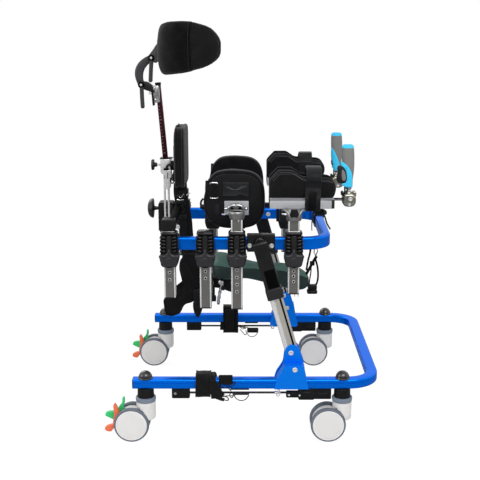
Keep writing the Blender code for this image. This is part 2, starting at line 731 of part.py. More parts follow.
def rear_support(clamp):
    x = CLAMP_X["a"]
    half = POST_SIDE / 2
    low = CLAMP_TOP + 0.002
    top = low + CROSSBAR_HEIGHT
    support = box((x + half - CROSSBAR_WIDTH, x + half), (-POST_Y - half, POST_Y + half), (low, top))
    support = rounded(support, 0.002, 1)
    # full-width ends on the posts and a full-width middle that carries the housing
    wide = (x - half, x + half - CROSSBAR_STEP)
    level = (low + CROSSBAR_STEP, top - CROSSBAR_STEP)
    posts = [box(wide, (HOUSING_Y[0] + CROSSBAR_STEP, HOUSING_Y[1] - CROSSBAR_STEP), level)]
    for sign in (-1, 1):
        posts.append(box(wide, (sign * (POST_Y - half), sign * (POST_Y + half - CROSSBAR_STEP)), level))
        posts.append(box((x - half + GAP, x + half - GAP),
                         (sign * (POST_Y - half + GAP), sign * (POST_Y + half - GAP)),
                         (POST_FOOT["a"], low + CROSSBAR_HEIGHT / 2)))
    housing = rounded(box(HOUSING_X, HOUSING_Y, HOUSING_Z), 0.003, 1)
    support = join(support, *posts, housing)
    channel = box((BAR_X - BAR_WIDTH / 2 - SLIDE, BAR_X + BAR_WIDTH / 2 + SLIDE),
                  (HOUSING_Y[0] - 0.01, BAR_Y + BAR_THICK / 2 + SLIDE),
                  (HOUSING_Z[0] - 0.01, HOUSING_Z[1] + 0.01))
    cover = box((HOUSING_X[0] + 0.004, HOUSING_X[1] - 0.004),
                (HOUSING_Y[0] + GAP, BAR_Y - BAR_THICK / 2 - SLIDE),
                (HOUSING_Z[0] + 0.052, HOUSING_Z[1] - 0.004))
    knob_bore = cylinder("x", (0, KNOB_Z), 0.003 + TURN, HOUSING_X[0] - 0.01, HOUSING_X[0] + 0.010, 12)
    support = cut(support, channel, knob_bore)
    support = join(support, cover)
    return finish(support, "rear_support", "silver_metal", (x, 0, low), clamp)


def back_bar(support):
    half = BAR_WIDTH / 2
    bar = box((BAR_X - half, BAR_X + half), (BAR_Y - BAR_THICK / 2, BAR_Y + BAR_THICK / 2),
              (BAR_FOOT_Z, BLOCK_Z[0] + 0.02))
    block = rounded(box(BLOCK_X, BLOCK_Y, BLOCK_Z), 0.002, 1)
    pad_plate = box((BACK_PAD_X[0] - GAP - 0.004, BACK_PAD_X[0] - GAP), (-0.030, 0.030),
                    (BLOCK_Z[0], BLOCK_Z[1] + 0.040))
    bridge = box((BLOCK_X[1] - 0.004, BACK_PAD_X[0] - 0.002), (-0.012, 0.010),
                 (BLOCK_Z[0] + 0.010, BLOCK_Z[0] + 0.034))
    bar = join(bar, block, rounded(pad_plate, 0.001, 1), bridge)
    slot = box((BAR_X - BAR_SLOT / 2, BAR_X + BAR_SLOT / 2), (-0.1, BAR_Y + BAR_THICK),
               (BAR_FOOT_Z + 0.012, BLOCK_Z[0] - 0.008))
    post_half = HEAD_POST_SIDE / 2 + SLIDE
    bore = move(box((-post_half, post_half), (-post_half, post_half), (-0.1, 0.1)), head_post_frame())
    star_bore = cylinder("x", (0, STAR_Z), 0.0025 + TURN, BLOCK_X[0] - 0.01, BLOCK_X[0] + 0.005, 12)
    bar = cut(bar, slot, bore, star_bore)
    return finish(bar, "back_bar", "bright_metal", (BAR_X, BAR_Y, BAR_FOOT_Z), support)


def knob(name, radius, x_face, z, disc, neck, shaft_radius, depth, sections, parent):
    """A lobed knob on a screw that points forward into the face at x_face."""
    back = x_face - GAP - neck
    points = []
    for i in range(sections * 4):
        angle = 2 * math.pi * i / (sections * 4)
        reach = radius * (0.93 + 0.07 * math.cos(sections * angle))
        points.append((reach * math.cos(angle), reach * math.sin(angle)))
    layers = ((0.55, back - disc), (0.92, back - disc * 0.85), (1.0, back - disc * 0.5),
              (0.92, back - disc * 0.1), (0.45, back))
    head = pillow(points, layers, lambda a, b, depth_x: (depth_x, a, z + b))
    hub = cylinder("x", (0, z), shaft_radius * 2.2, back - disc * 0.5, x_face - GAP, 16)
    shaft = cylinder("x", (0, z), shaft_radius, back - disc * 0.4, x_face + depth, 12)
    return finish(join(head, hub, shaft), name, "black_plastic", (x_face, 0, z), parent)


def back_pad(bar):
    low, high = BACK_PAD_Z
    half = BACK_PAD_HALF
    corner = 0.030
    outline = []
    for cy, cz, start in ((half - corner, low + corner, -90), (half - corner, high - corner, 0),
                          (corner - half, high - corner, 90), (corner - half, low + corner, 180)):
        outline += arc((cy, cz), corner, start, start + 90, 4)
    rear, front = BACK_PAD_X
    thick = front - rear
    layers = ((0.90, rear), (0.965, rear + thick * 0.05), (1.0, rear + thick * 0.25),
              (1.0, rear + thick * 0.55), (0.96, rear + thick * 0.80), (0.86, rear + thick * 0.93),
              (0.60, front))
    pad = pillow(outline, layers, lambda y, z, x: (x, y, z))
    return finish(pad, "back_pad", "black_fabric", (rear, 0, (low + high) / 2), bar)


# Head support

def head_post_frame():
    foot = Matrix.Translation((HEAD_POST_X, 0, BLOCK_Z[1]))
    return foot @ Matrix.Rotation(-POST_LEAN, 4, "Y")


def cheeks(outline, inner, thick):
    pair = []
    for sign in (-1, 1):
        pair.append(prism(outline, "y", *sorted((sign * inner, sign * (inner + thick)))))
    return pair


def head_post(bar):
    half = HEAD_POST_SIDE / 2
    frame = head_post_frame()
    post = rounded(box((-half, half), (-half, half), (HEAD_POST_BOTTOM, HEAD_POST_LENGTH)), 0.0015, 1)
    post = move(post, frame)
    inner = HEAD_ARM_HALF + SLIDE
    clamp = box((-0.0165, -half + 0.003), (-inner - HEAD_CHEEK, inner + HEAD_CHEEK), (0.168, 0.219))
    clamp = move(rounded(clamp, 0.002, 1), frame)
    low = (frame @ Vector((-0.014, 0, 0.170)))
    high = (frame @ Vector((-0.014, 0, 0.217)))
    outline = arc(PIVOT_LOW, HEAD_EYE, 75, 215, 7)
    outline += [(low.x, low.z), (high.x, high.z + 0.010), (high.x - 0.008, high.z + 0.013)]
    plates = cheeks(outline, inner, HEAD_CHEEK)
    pin = cylinder("y", PIVOT_LOW, HEAD_PIN, -inner - HEAD_CHEEK + GAP, inner + HEAD_CHEEK - GAP, 12)
    post = join(post, clamp, *plates, pin)
    return finish(post, "head_post", "wine_metal", (HEAD_POST_X, 0, BLOCK_Z[1]), bar)


def head_arm(post):
    """A curved strap between the two clamping pivots, bowed to the rear."""
    low = Vector(PIVOT_LOW)
    high = Vector(PIVOT_HIGH)
    bow = Vector((-0.0255, 0.0080))
    left = []
    right = []
    steps = 10
    for i in range(steps + 1):
        t = i / steps
        centre = low.lerp(high, t) + bow * math.sin(math.pi * t) ** 0.8 * 0.72
        ahead = min(1, t + 0.02)
        behind = max(0, t - 0.02)
        line = []
        for s in (behind, ahead):
            line.append(low.lerp(high, s) + bow * math.sin(math.pi * s) ** 0.8 * 0.72)
        along = (line[1] - line[0]).normalized()
        normal = Vector((-along.y, along.x))
        half = 0.0085 + 0.0040 * math.sin(math.pi * t)
        left.append(tuple(centre + normal * half))
        right.append(tuple(centre - normal * half))
    arm = prism(left + right[::-1], "y", -HEAD_ARM_HALF, HEAD_ARM_HALF)
    eyes = [cylinder("y", place, HEAD_EYE - 0.001, -HEAD_ARM_HALF + GAP, HEAD_ARM_HALF - GAP, 20)
            for place in (PIVOT_LOW, PIVOT_HIGH)]
    bores = [cylinder("y", place, HEAD_PIN + TURN, -0.05, 0.05, 12)
             for place in (PIVOT_LOW, PIVOT_HIGH)]
    arm = cut(join(arm, *eyes), *bores)
    return finish(arm, "head_arm", "grey_plastic", (PIVOT_LOW[0], 0, PIVOT_LOW[1]), post)


# Side outline of the head pad as (x, bottom z, top z), from its rear face to the wing tips.
HEAD_PAD_SIDE = [
    (-0.250, 1.0225, 1.1715), (-0.180, 1.0235, 1.1720), (-0.140, 1.0330, 1.1690),
    (-0.112, 1.0410, 1.1610), (-0.092, 1.0520, 1.1450), (-0.078, 1.0680, 1.1240),
    (-0.069, 1.0900, 1.1050),
]


def head_pad_height(x):
    for (x0, low0, high0), (x1, low1, high1) in zip(HEAD_PAD_SIDE, HEAD_PAD_SIDE[1:]):
        if x <= x1:
            t = max(0.0, (x - x0) / (x1 - x0))
            return low0 + (low1 - low0) * t, high0 + (high1 - high0) * t
    return HEAD_PAD_SIDE[-1][1:]


def head_pad(arm):
    """A U-shaped cushion: one section carried round the back of the head, closed at both tips."""
    half_thick = HEAD_PAD_THICK / 2
    reach = HEAD_PAD_HALF - half_thick
    back = HEAD_PAD_REAR_X + half_thick
    centre_x = back + reach
    stations = []
    tip_steps = 4
    tip_run = HEAD_PAD_TIP_X - centre_x
    for i in range(tip_steps, 0, -1):
        stations.append((centre_x + tip_run * i / tip_steps, -reach, 0.0, -1.0))
    turn_steps = 14
    for i in range(turn_steps + 1):
        angle = math.radians(-90 + 180 * i / turn_steps)
        stations.append((centre_x - reach * math.cos(angle), reach * math.sin(angle),
                         -math.cos(angle), math.sin(angle)))
    for i in range(1, tip_steps + 1):
        stations.append((centre_x + tip_run * i / tip_steps, reach, 0.0, 1.0))
    rings = []
    for x, y, nx, ny in stations:
        low, high = head_pad_height(x)
        tip = max(0.0, (x - centre_x) / tip_run)
        thick = half_thick * (1 - 0.55 * tip ** 3)
        ring = []
        for a, b in superellipse(thick, (high - low) / 2, 16, 2.7):
            ring.append((x + nx * a, y + ny * a, (low + high) / 2 + b))
        rings.append(ring)
    pad = loft(rings)
    inner = HEAD_ARM_HALF + SLIDE
    face = HEAD_PAD_REAR_X + 0.008
    outline = arc(PIVOT_HIGH, HEAD_EYE, 100, 250, 7)
    outline += [(face, PIVOT_HIGH[1] - 0.022), (face, PIVOT_HIGH[1] + 0.036)]
    plates = cheeks(outline, inner, HEAD_CHEEK)
    pin = cylinder("y", PIVOT_HIGH, HEAD_PIN, -inner - HEAD_CHEEK + GAP, inner + HEAD_CHEEK - GAP, 12)
    pad = join(pad, *plates, pin)
    return finish(pad, "head_pad", "black_fabric", (PIVOT_HIGH[0], 0, PIVOT_HIGH[1]), arm)


# Chest pads

CHEST_OUTLINE = [
    (-0.1060, 0.6967), (-0.1120, 0.6676), (-0.1090, 0.6380), (-0.0990, 0.6130), (-0.0780, 0.5950),
    (-0.0480, 0.5880), (-0.0100, 0.5855), (0.0240, 0.5900), (0.0480, 0.6040), (0.0620, 0.6250),
    (0.0670, 0.6600), (0.0655, 0.6950), (0.0580, 0.7240), (0.0420, 0.7440), (0.0150, 0.7545),
    (-0.0230, 0.7570), (-0.0580, 0.7555), (-0.0830, 0.7460), (-0.0990, 0.7250),
]


def chest_bracket(side, sign, post):
    x = CLAMP_X["c"]
    y = sign * POST_Y
    top = CHEST_RING_Z + CHEST_RING_HEIGHT
    face = CHEST_PAD_Y[1] + GAP
    ring = cylinder("z", (x, y), RING_RADIUS, CHEST_RING_Z, top)
    plate = box((x - 0.0365, x + 0.0330), (sign * face, sign * (face + CHEST_PLATE)),
                (CHEST_RING_Z - 0.004, CHEST_RING_Z + 0.037))
    arm = box((x - 0.014, x + 0.014), (sign * (face + CHEST_PLATE / 2), sign * (POST_Y - 0.012)),
              (CHEST_RING_Z + 0.003, top - 0.003))
    bracket = join(ring, rounded(plate, 0.0012, 1), arm)
    bore = cylinder("z", (x, y), SPIGOT_RADIUS + TURN, CHEST_RING_Z - 0.01, top - 0.003, 20)
    return finish(cut(bracket, bore), "chest_bracket_" + side, "bright_metal", (x, y, CHEST_RING_Z),
                  post)


def chest_pad(side, sign, bracket):
    inner, outer = CHEST_PAD_Y
    thick = outer - inner
    outline = smooth_loop(CHEST_OUTLINE, 2)
    layers = ((0.90, outer), (0.975, outer - thick * 0.07), (1.0, outer - thick * 0.28),
              (1.0, outer - thick * 0.55), (0.955, outer - thick * 0.80), (0.84, outer - thick * 0.94),
              (0.55, inner))
    pad = pillow(outline, layers, lambda x, z, y: (x, sign * y, z))
    return finish(pad, "chest_pad_" + side, "black_fabric", (CLAMP_X["c"], sign * outer, CHEST_RING_Z),
                  bracket)


# Forearm supports

TROUGH_OUTLINE = [
    (0.0775, 0.0), (0.0765, 0.048), (0.0830, 0.058), (0.1010, 0.0765), (0.1080, 0.0775),
    (0.1360, 0.0775), (0.1440, 0.0755), (0.1640, 0.0620), (0.1760, 0.0590), (0.2220, 0.0565),
    (0.2440, 0.0550), (0.2550, 0.0490), (0.2620, 0.0370), (0.2640, 0.0250), (0.2610, 0.0100),
    (0.2550, 0.0),
]


def arm_plate(side, sign, post):
    """An inverted channel with the ring that turns on the post and the rod of the hand grip."""
    x = CLAMP_X["d"]
    low = CHANNEL_TOP - CHANNEL_HEIGHT
    channel = box(CHANNEL_X, (sign * CHANNEL_Y[0], sign * CHANNEL_Y[1]), (low, CHANNEL_TOP))
    ceiling = CHANNEL_TOP - CHANNEL_WALL
    hollow = box((CHANNEL_X[0] - 0.01, CHANNEL_X[1] + 0.01),
                 (sign * (CHANNEL_Y[0] + CHANNEL_WALL), sign * (CHANNEL_Y[1] - CHANNEL_WALL)),
                 (low - 0.01, ceiling))
    channel = cut(rounded(channel, 0.0012, 1), hollow)
    ring = cylinder("z", (x, sign * POST_Y), RING_RADIUS, ARM_RING_Z, ceiling + GAP)
    socket = box((CHANNEL_X[1] - 0.050, CHANNEL_X[1] - 0.001),
                 (sign * (ROD_Y - 0.010), sign * (ROD_Y + 0.010)), (ROD_Z - 0.007, ceiling + GAP))
    rod = cylinder("x", (sign * ROD_Y, ROD_Z), ROD_RADIUS, CHANNEL_X[1] - 0.030, ROD_END_X, 12)
    plate = join(channel, ring, socket, rod)
    bore = cylinder("z", (x, sign * POST_Y), SPIGOT_RADIUS + TURN, ARM_RING_Z - 0.01, ceiling - GAP, 20)
    return finish(cut(plate, bore), "arm_plate_" + side, "silver_metal",
                  (x, sign * POST_Y, ARM_RING_Z), post)


def arm_trough(side, sign, plate):
    floor = CHANNEL_TOP + GAP
    points = [(x, floor + height) for x, height in TROUGH_OUTLINE]
    middle = sign * TROUGH_Y
    body = prism(points, "y", middle - TROUGH_HALF, middle + TROUGH_HALF)
    body = rounded(body, 0.0045, 2, 60)
    start = CHANNEL_X[0] - 0.02
    end = TROUGH_OUTLINE[13][0] + 0.02
    gutter = cylinder("x", (middle, GUTTER_Z), GUTTER_RADIUS, start, end, 16)
    mouth = box((start, end), (middle - GUTTER_RADIUS, middle + GUTTER_RADIUS),
                (GUTTER_Z, GUTTER_Z + 0.1))
    body = cut(body, join(gutter, mouth))
    return finish(body, "arm_trough_" + side, "black_fabric", (CLAMP_X["d"], middle, floor), plate)


# Hand grip sections from the clamp block upward as (height above the
# rod, middle x, half x, half y)
GRIP_SECTIONS = [
    (0.0185, 0.3060, 0.0075, 0.0070), (0.0295, 0.3060, 0.0075, 0.0070),
    (0.0365, 0.3040, 0.0118, 0.0110), (0.0445, 0.3035, 0.0120, 0.0120),
    (0.0585, 0.3025, 0.0132, 0.0140), (0.0785, 0.3020, 0.0165, 0.0155),
    (0.0995, 0.3018, 0.0178, 0.0160), (0.1285, 0.3010, 0.0180, 0.0160),
    (0.1505, 0.3000, 0.0165, 0.0150), (0.1575, 0.3000, 0.0120, 0.0105),
]


def hand_grip(side, sign, plate):
    y = sign * ROD_Y
    block = box((GRIP_X - GRIP_BLOCK_HALF, GRIP_X + GRIP_BLOCK_HALF), (y - 0.018, y + 0.018),
                (ROD_Z - 0.0195, ROD_Z + 0.022))
    block = rounded(block, 0.008, 2)
    rings = []
    for z, x, half_x, half_y in GRIP_SECTIONS:
        rings.append([(x + a, y + b, ROD_Z + z) for a, b in superellipse(half_x, half_y, 16, 2.4)])
    grip = join(block, loft(rings))
    bore = cylinder("x", (y, ROD_Z), ROD_RADIUS + TURN, GRIP_X - 0.05, ROD_END_X + 0.001, 12)
    return finish(cut(grip, bore), "hand_grip_" + side, "grip_grey", (GRIP_X, y, ROD_Z), plate)


# Seat

# Saddle sections from the rear as (x, half width, bottom and top above the bracket)
SEAT_SECTIONS = [
    (-0.0930, 0.066, 0.0160, 0.0600), (-0.0850, 0.080, 0.0060, 0.0660),
    (-0.0700, 0.088, 0.0003, 0.0670), (-0.0450, 0.090, 0.0003, 0.0620),
    (-0.0180, 0.080, 0.0003, 0.0540), (0.0050, 0.058, 0.0003, 0.0480),
    (0.0300, 0.038, -0.0070, 0.0430), (0.0600, 0.030, -0.0160, 0.0400),
    (0.0950, 0.029, -0.0255, 0.0400), (0.1300, 0.031, -0.0350, 0.0395),
    (0.1600, 0.031, -0.0420, 0.0310), (0.1850, 0.027, -0.0430, 0.0200),
    (0.1990, 0.020, -0.0360, 0.0080), (0.2060, 0.010, -0.0260, -0.0040),
]


def seat(frame):
    rings = []
    for x, half, low, high in SEAT_SECTIONS:
        ring = []
        for a, b in superellipse(half, (high - low) / 2, 20, 3.2):
            ring.append((x, a, SEAT_BASE_Z + (low + high) / 2 + b))
        rings.append(ring)
    saddle = loft(rings)
    patch = box((SEAT_SECTIONS[0][0] - 0.02, SEAT_SECTIONS[5][0]), (-0.1, 0.1),
                (SEAT_BASE_Z - 0.1, SEAT_BASE_Z + GAP))
    return finish(cut(saddle, patch), "seat", "seat_green", (CLAMP_X["b"], 0, SEAT_TUBE_Z), frame)


def seat_frame(clamp):
    x = CLAMP_X["b"]
    tube = cylinder("y", (x, SEAT_TUBE_Z), SEAT_TUBE_RADIUS, -POST_Y, POST_Y, 20)
    posts = [post_bar("b", sign, SEAT_POST_TOP) for sign in (-1, 1)]
    outline = [
        (x - 0.006, SEAT_BASE_Z - 0.022), (x + 0.034, SEAT_BASE_Z - 0.032),
        (x + 0.068, SEAT_BASE_Z - 0.046), (x + 0.101, SEAT_BASE_Z - 0.017),
        (x + 0.080, SEAT_BASE_Z), (x + 0.006, SEAT_BASE_Z),
    ]
    bracket = prism(outline, "y", -SEAT_BRACKET_HALF, SEAT_BRACKET_HALF)
    return finish(join(tube, *posts, bracket), "seat_frame", "silver_metal", (x, 0, SEAT_TUBE_Z),
                  clamp)


# Ankle rods and cuffs

def ankle_bar(side, sign, base):
    y = sign * BASE_HALF_TRACK
    half = ANKLE_BLOCK_HALF
    ceiling = BASE_Z - BASE_HEIGHT / 2 - GAP
    rod = cylinder("x", (y, ANKLE_ROD_Z), ANKLE_ROD_RADIUS, ANKLE_REAR_X[0] + 0.01,
                   ANKLE_FRONT_X[1] - 0.01, 12)
    rear = box(ANKLE_REAR_X, (y - half, y + half), (ANKLE_ROD_Z - 0.0145, ceiling))
    start, end = ANKLE_FRONT_X
    latch = box((start, start + 0.040), (y - half + 0.002, y + half - 0.002),
                (ANKLE_ROD_Z - 0.0135, ANKLE_ROD_Z + 0.0040))
    body = box((start + 0.034, start + 0.081), (y - half - 0.002, y + half + 0.002),
               (ANKLE_ROD_Z - 0.0190, ceiling))
    front = box((start + 0.079, end), (y - half, y + half), (ANKLE_ROD_Z - 0.0170, ceiling))
    bar = join(rod, rounded(rear, 0.0015, 1), latch, rounded(body, 0.0015, 1),
               rounded(front, 0.0015, 1))
    return finish(bar, "ankle_bar_" + side, "black_plastic", (0, y, ANKLE_ROD_Z), base)


def ankle_cuff(side, sign, base):
    """A padded strap round the base tube and the rod under it, free to slide along both."""
    y = sign * BASE_HALF_TRACK
    x = CUFF_X[side]
    inside = BASE_WIDTH / 2 + 4 * GAP
    outside = inside + CUFF_WALL
    wrap = box((x - CUFF_LENGTH / 2, x + CUFF_LENGTH / 2), (y - outside, y + outside),
               (CUFF_BOTTOM, CUFF_TOP))
    wrap = rounded(wrap, 0.005, 2)
    passage = box((x - CUFF_LENGTH, x + CUFF_LENGTH), (y - inside, y + inside),
                  (ANKLE_ROD_Z - ANKLE_ROD_RADIUS - GAP, BASE_Z + BASE_HEIGHT / 2 + GAP))
    return finish(cut(wrap, passage), "ankle_cuff_" + side, "black_fabric", (x, y, ANKLE_ROD_Z), base)


def build_walker():
    base = base_frame()
    casters(base)
    rail = u_tube(RAIL_REAR_X, RAIL_FRONT_X, RAIL_HALF, RAIL_WIDTH, RAIL_HEIGHT, RAIL_BEND, RAIL_Z)
    rail = finish(rail, "upper_rail", "blue_paint", (0, 0, RAIL_Z), base)
    clamps = {}
    for side, sign in SIDES.items():
        leg_bracket(side, sign, base)
        leg_tube(side, sign, base)
        leg_sleeve(side, sign, rail)
        ankle_bar(side, sign, base)
        ankle_cuff(side, sign, base)
        for letter in CLAMP_X:
            clamps[letter + side] = post_clamp(letter, side, sign, rail)
        chest_post = spigot_post("c", side, sign, "chest_post", CHEST_RING_Z, CHEST_RING_HEIGHT,
                                 clamps["c" + side])
        bracket = chest_bracket(side, sign, chest_post)
        chest_pad(side, sign, bracket)
        arm_post = spigot_post("d", side, sign, "arm_post", ARM_RING_Z,
                               CHANNEL_TOP - CHANNEL_WALL - ARM_RING_Z, clamps["d" + side])
        plate = arm_plate(side, sign, arm_post)
        arm_trough(side, sign, plate)
        hand_grip(side, sign, plate)
    support = rear_support(clamps["aright"])
    bar = back_bar(support)
    back_pad(bar)
    knob("bar_knob", KNOB_RADIUS, HOUSING_X[0], KNOB_Z, 0.018, 0.016, 0.003, 0.009, 6, support)
    knob("star_knob", STAR_RADIUS, BLOCK_X[0], STAR_Z, 0.011, 0.018, 0.0025, 0.004, 6, bar)
    post = head_post(bar)
    arm = head_arm(post)
    head_pad(arm)
    frame = seat_frame(clamps["bright"])
    seat(frame)


clear_scene()
PARTS = new_collection("pediatric_walker")
CUTTERS = new_collection("cutters")
MATERIALS = {name: new_material(name) for name in COLOURS}
build_walker()
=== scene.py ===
import math

import bpy
import numpy as np
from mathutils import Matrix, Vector


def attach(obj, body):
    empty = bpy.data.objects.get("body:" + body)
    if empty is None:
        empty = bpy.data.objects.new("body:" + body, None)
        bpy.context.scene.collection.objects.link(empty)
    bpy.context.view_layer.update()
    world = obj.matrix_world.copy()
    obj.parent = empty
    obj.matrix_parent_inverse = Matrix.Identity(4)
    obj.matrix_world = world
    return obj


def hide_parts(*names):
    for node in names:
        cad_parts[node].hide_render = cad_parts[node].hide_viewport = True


# Looks of the pediatric walker. Metres, X forward, Y to the user's left, Z up, floor at z = 0.

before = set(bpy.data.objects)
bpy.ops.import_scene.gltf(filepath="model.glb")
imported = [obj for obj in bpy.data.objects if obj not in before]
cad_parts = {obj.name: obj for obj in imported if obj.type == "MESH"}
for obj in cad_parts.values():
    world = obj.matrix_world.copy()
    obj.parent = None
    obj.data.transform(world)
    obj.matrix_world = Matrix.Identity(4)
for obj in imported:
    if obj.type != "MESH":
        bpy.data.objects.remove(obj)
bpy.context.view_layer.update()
print("frame loaded:", len(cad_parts), "nodes")

sides = {"right": -1, "left": 1}
axes = "xyz"


# Faces point outward when the volume, summed over triangles seen from the origin, is positive.
def outward(shape):
    points, quads, ends = shape
    fans = [np.stack([np.full(len(e) - 2, e[0]), e[1:-1], e[2:]], -1) for e in ends]
    triangles = np.concatenate([quads[:, [0, 1, 2]], quads[:, [0, 2, 3]]] + fans)
    a, b, c = points[triangles].transpose(1, 0, 2)
    if np.einsum("ij,ij->", a, np.cross(b, c)) < 0:
        quads = quads[:, ::-1]
        ends = [e[::-1] for e in ends]
    return points, quads, ends


# Grid surface: rows[i, j] is point j of station i; every cell becomes one quad, and the end rings are
# closed with one polygon each unless the stations run round in a loop.
def gridShape(rows, loop=False):
    rows = np.asarray(rows, float)
    n, m = rows.shape[:2]
    i, j = np.meshgrid(np.arange(n if loop else n - 1), np.arange(m), indexing="ij")
    nextPoint = (j + 1) % m
    nextRow = (i + 1) % n
    corners = [i * m + j, i * m + nextPoint, nextRow * m + nextPoint, nextRow * m + j]
    quads = np.stack(corners, -1).reshape(-1, 4)
    ends = [] if loop else [np.arange(m)[::-1], (n - 1) * m + np.arange(m)]
    return outward((rows.reshape(-1, 3), quads, ends))


def joined(shapes):
    points, quads, ends = [], [], []
    start = 0
    for p, q, e in shapes:
        points.append(p)
        quads.append(q + start)
        ends += [end + start for end in e]
        start += len(p)
    return np.concatenate(points), np.concatenate(quads), ends


def shifted(shape, x=0.0, y=0.0, z=0.0):
    return shape[0] + (x, y, z), shape[1], shape[2]


# Turns the points by an angle round a line parallel to an axis through centre.
def turned(shape, axis, degrees, centre):
    a = math.radians(degrees)
    i, j = {"x": (1, 2), "y": (2, 0), "z": (0, 1)}[axis]
    points = shape[0] - centre
    out = points.copy()
    out[:, i] = points[:, i] * math.cos(a) - points[:, j] * math.sin(a)
    out[:, j] = points[:, i] * math.sin(a) + points[:, j] * math.cos(a)
    return out + centre, shape[1], shape[2]


# Puts outline columns (a, b) into the plane across an axis at one level.
def across(axis, outline, level):
    outline = np.asarray(outline, float)
    columns = [outline[..., 0], outline[..., 1]]
    columns.insert(axes.index(axis), np.broadcast_to(level, outline[..., 0].shape))
    return np.stack(columns, -1)


# Circle: (radius cos a, radius sin a) at equal angles.
def circle(radius, count=12):
    angle = np.linspace(0, 2 * np.pi, count, endpoint=False)
    return radius * np.stack([np.cos(angle), np.sin(angle)], -1)


# Arc of a circle: centre + radius (cos, sin) from one angle to the other, in degrees.
def arc(centre, radius, start, end, steps=8):
    angle = np.radians(np.linspace(start, end, steps + 1))
    return np.asarray(centre) + radius * np.stack([np.cos(angle), np.sin(angle)], -1)


# Rounded rectangle: a quarter circle round each corner's centre, anticlockwise from +a.
def roundRect(halfA, halfB, radius, steps=4):
    angle = np.arange(4)[:, None] * np.pi / 2 + np.linspace(0, np.pi / 2, steps + 1)
    signs = np.array([(1, 1), (-1, 1), (-1, -1), (1, -1)])
    centre = signs[:, None] * np.array((halfA - radius, halfB - radius))
    return (centre + radius * np.stack([np.cos(angle), np.sin(angle)], -1)).reshape(-1, 2)


# Superellipse |a/A|^n + |b/B|^n = 1, walked by angle.
def superEllipse(halfA, halfB, count, power):
    angle = np.linspace(0, 2 * np.pi, count, endpoint=False)
    c, s = np.cos(angle), np.sin(angle)
    a = halfA * np.sign(c) * np.abs(c) ** (2 / power)
    b = halfB * np.sign(s) * np.abs(s) ** (2 / power)
    return np.stack([a, b], -1)


# Corner cutting: every side is cut at a quarter and at three quarters, which rounds the outline.
def smoothLoop(points, rounds=2):
    points = np.asarray(points, float)
    for cut in range(rounds):
        ahead = np.roll(points, -1, 0)
        pair = np.stack([0.75 * points + 0.25 * ahead, 0.25 * points + 0.75 * ahead], 1)
        points = pair.reshape(-1, points.shape[1])
    return points


# The same corner cutting on an open path, with both ends kept.
def smoothPath(points, rounds=2):
    points = np.asarray(points, float)
    for cut in range(rounds):
        a, b = points[:-1], points[1:]
        pair = np.stack([0.75 * a + 0.25 * b, 0.25 * a + 0.75 * b], 1).reshape(-1, points.shape[1])
        points = np.concatenate([points[:1], pair[1:-1], points[-1:]])
    return points


def unit(vectors):
    return vectors / np.maximum(np.linalg.norm(vectors, axis=-1, keepdims=True), 1e-12)


# Inset outline: each point moves inward along the mean normal of its two sides.
def inset(outline, distance):
    after = unit(np.roll(outline, -1, 0) - outline)
    before = unit(outline - np.roll(outline, 1, 0))
    mean = unit(before + after)
    normal = np.stack([-mean[:, 1], mean[:, 0]], -1)
    x, y = outline[:, 0], outline[:, 1]
    area = np.sum(x * np.roll(y, -1) - y * np.roll(x, -1))
    grow = 1 / np.clip(np.sum(mean * after, 1), 0.6, 1)
    return outline + np.sign(area) * normal * distance * grow[:, None]


# Plate with rounded rims: the outline is carried along the axis, drawn in by a quarter circle at each
# face: edge (1 - sin a) inward at a depth of edge (1 - cos a).
def slab(outline, axis, low, high, edge=0.001, steps=3):
    outline = np.asarray(outline, float)
    low, high = min(low, high), max(low, high)
    edge = min(edge, (high - low) / 2.01)
    angle = np.linspace(0, np.pi / 2, steps + 1)
    depth = edge * (1 - np.cos(angle))
    draw = edge * (1 - np.sin(angle))
    levels = np.concatenate([low + depth, (high - depth)[::-1]])
    draws = np.concatenate([draw, draw[::-1]])
    rows = [across(axis, inset(outline, d), level) for d, level in zip(draws, levels)]
    return gridShape(rows)


# Block with rounded edges: a slab over a rounded rectangle. low and high are opposite corners.
def block(low, high, radius=0.002, edge=None, axis="y", steps=3):
    low, high = np.minimum(low, high), np.maximum(low, high)
    k = axes.index(axis)
    keep = [i for i in range(3) if i != k]
    middle, half = (low + high) / 2, (high - low) / 2
    radius = min(radius, half[keep[0]] * 0.99, half[keep[1]] * 0.99)
    outline = roundRect(half[keep[0]], half[keep[1]], radius, steps) + middle[keep]
    return slab(outline, axis, low[k], high[k], radius if edge is None else edge, steps)


# Turned part: each (radius, height) of the profile becomes a circle round the axis through centre.
def lathe(profile, axis, centre, count=32, loop=False):
    profile = np.asarray(profile, float)
    rings = profile[:, None, :1] * circle(1.0, count) + np.asarray(centre)
    rows = across(axis, rings, profile[:, 1:])
    return gridShape(rows, loop=loop)


# Round bar: a turned profile of one radius, bevelled by edge at both ends.
def rod(axis, centre, radius, low, high, edge=0.0005, count=16):
    profile = [(radius - edge, low), (radius, low + edge), (radius, high - edge), (radius - edge, high)]
    return lathe(profile, axis, centre, count)


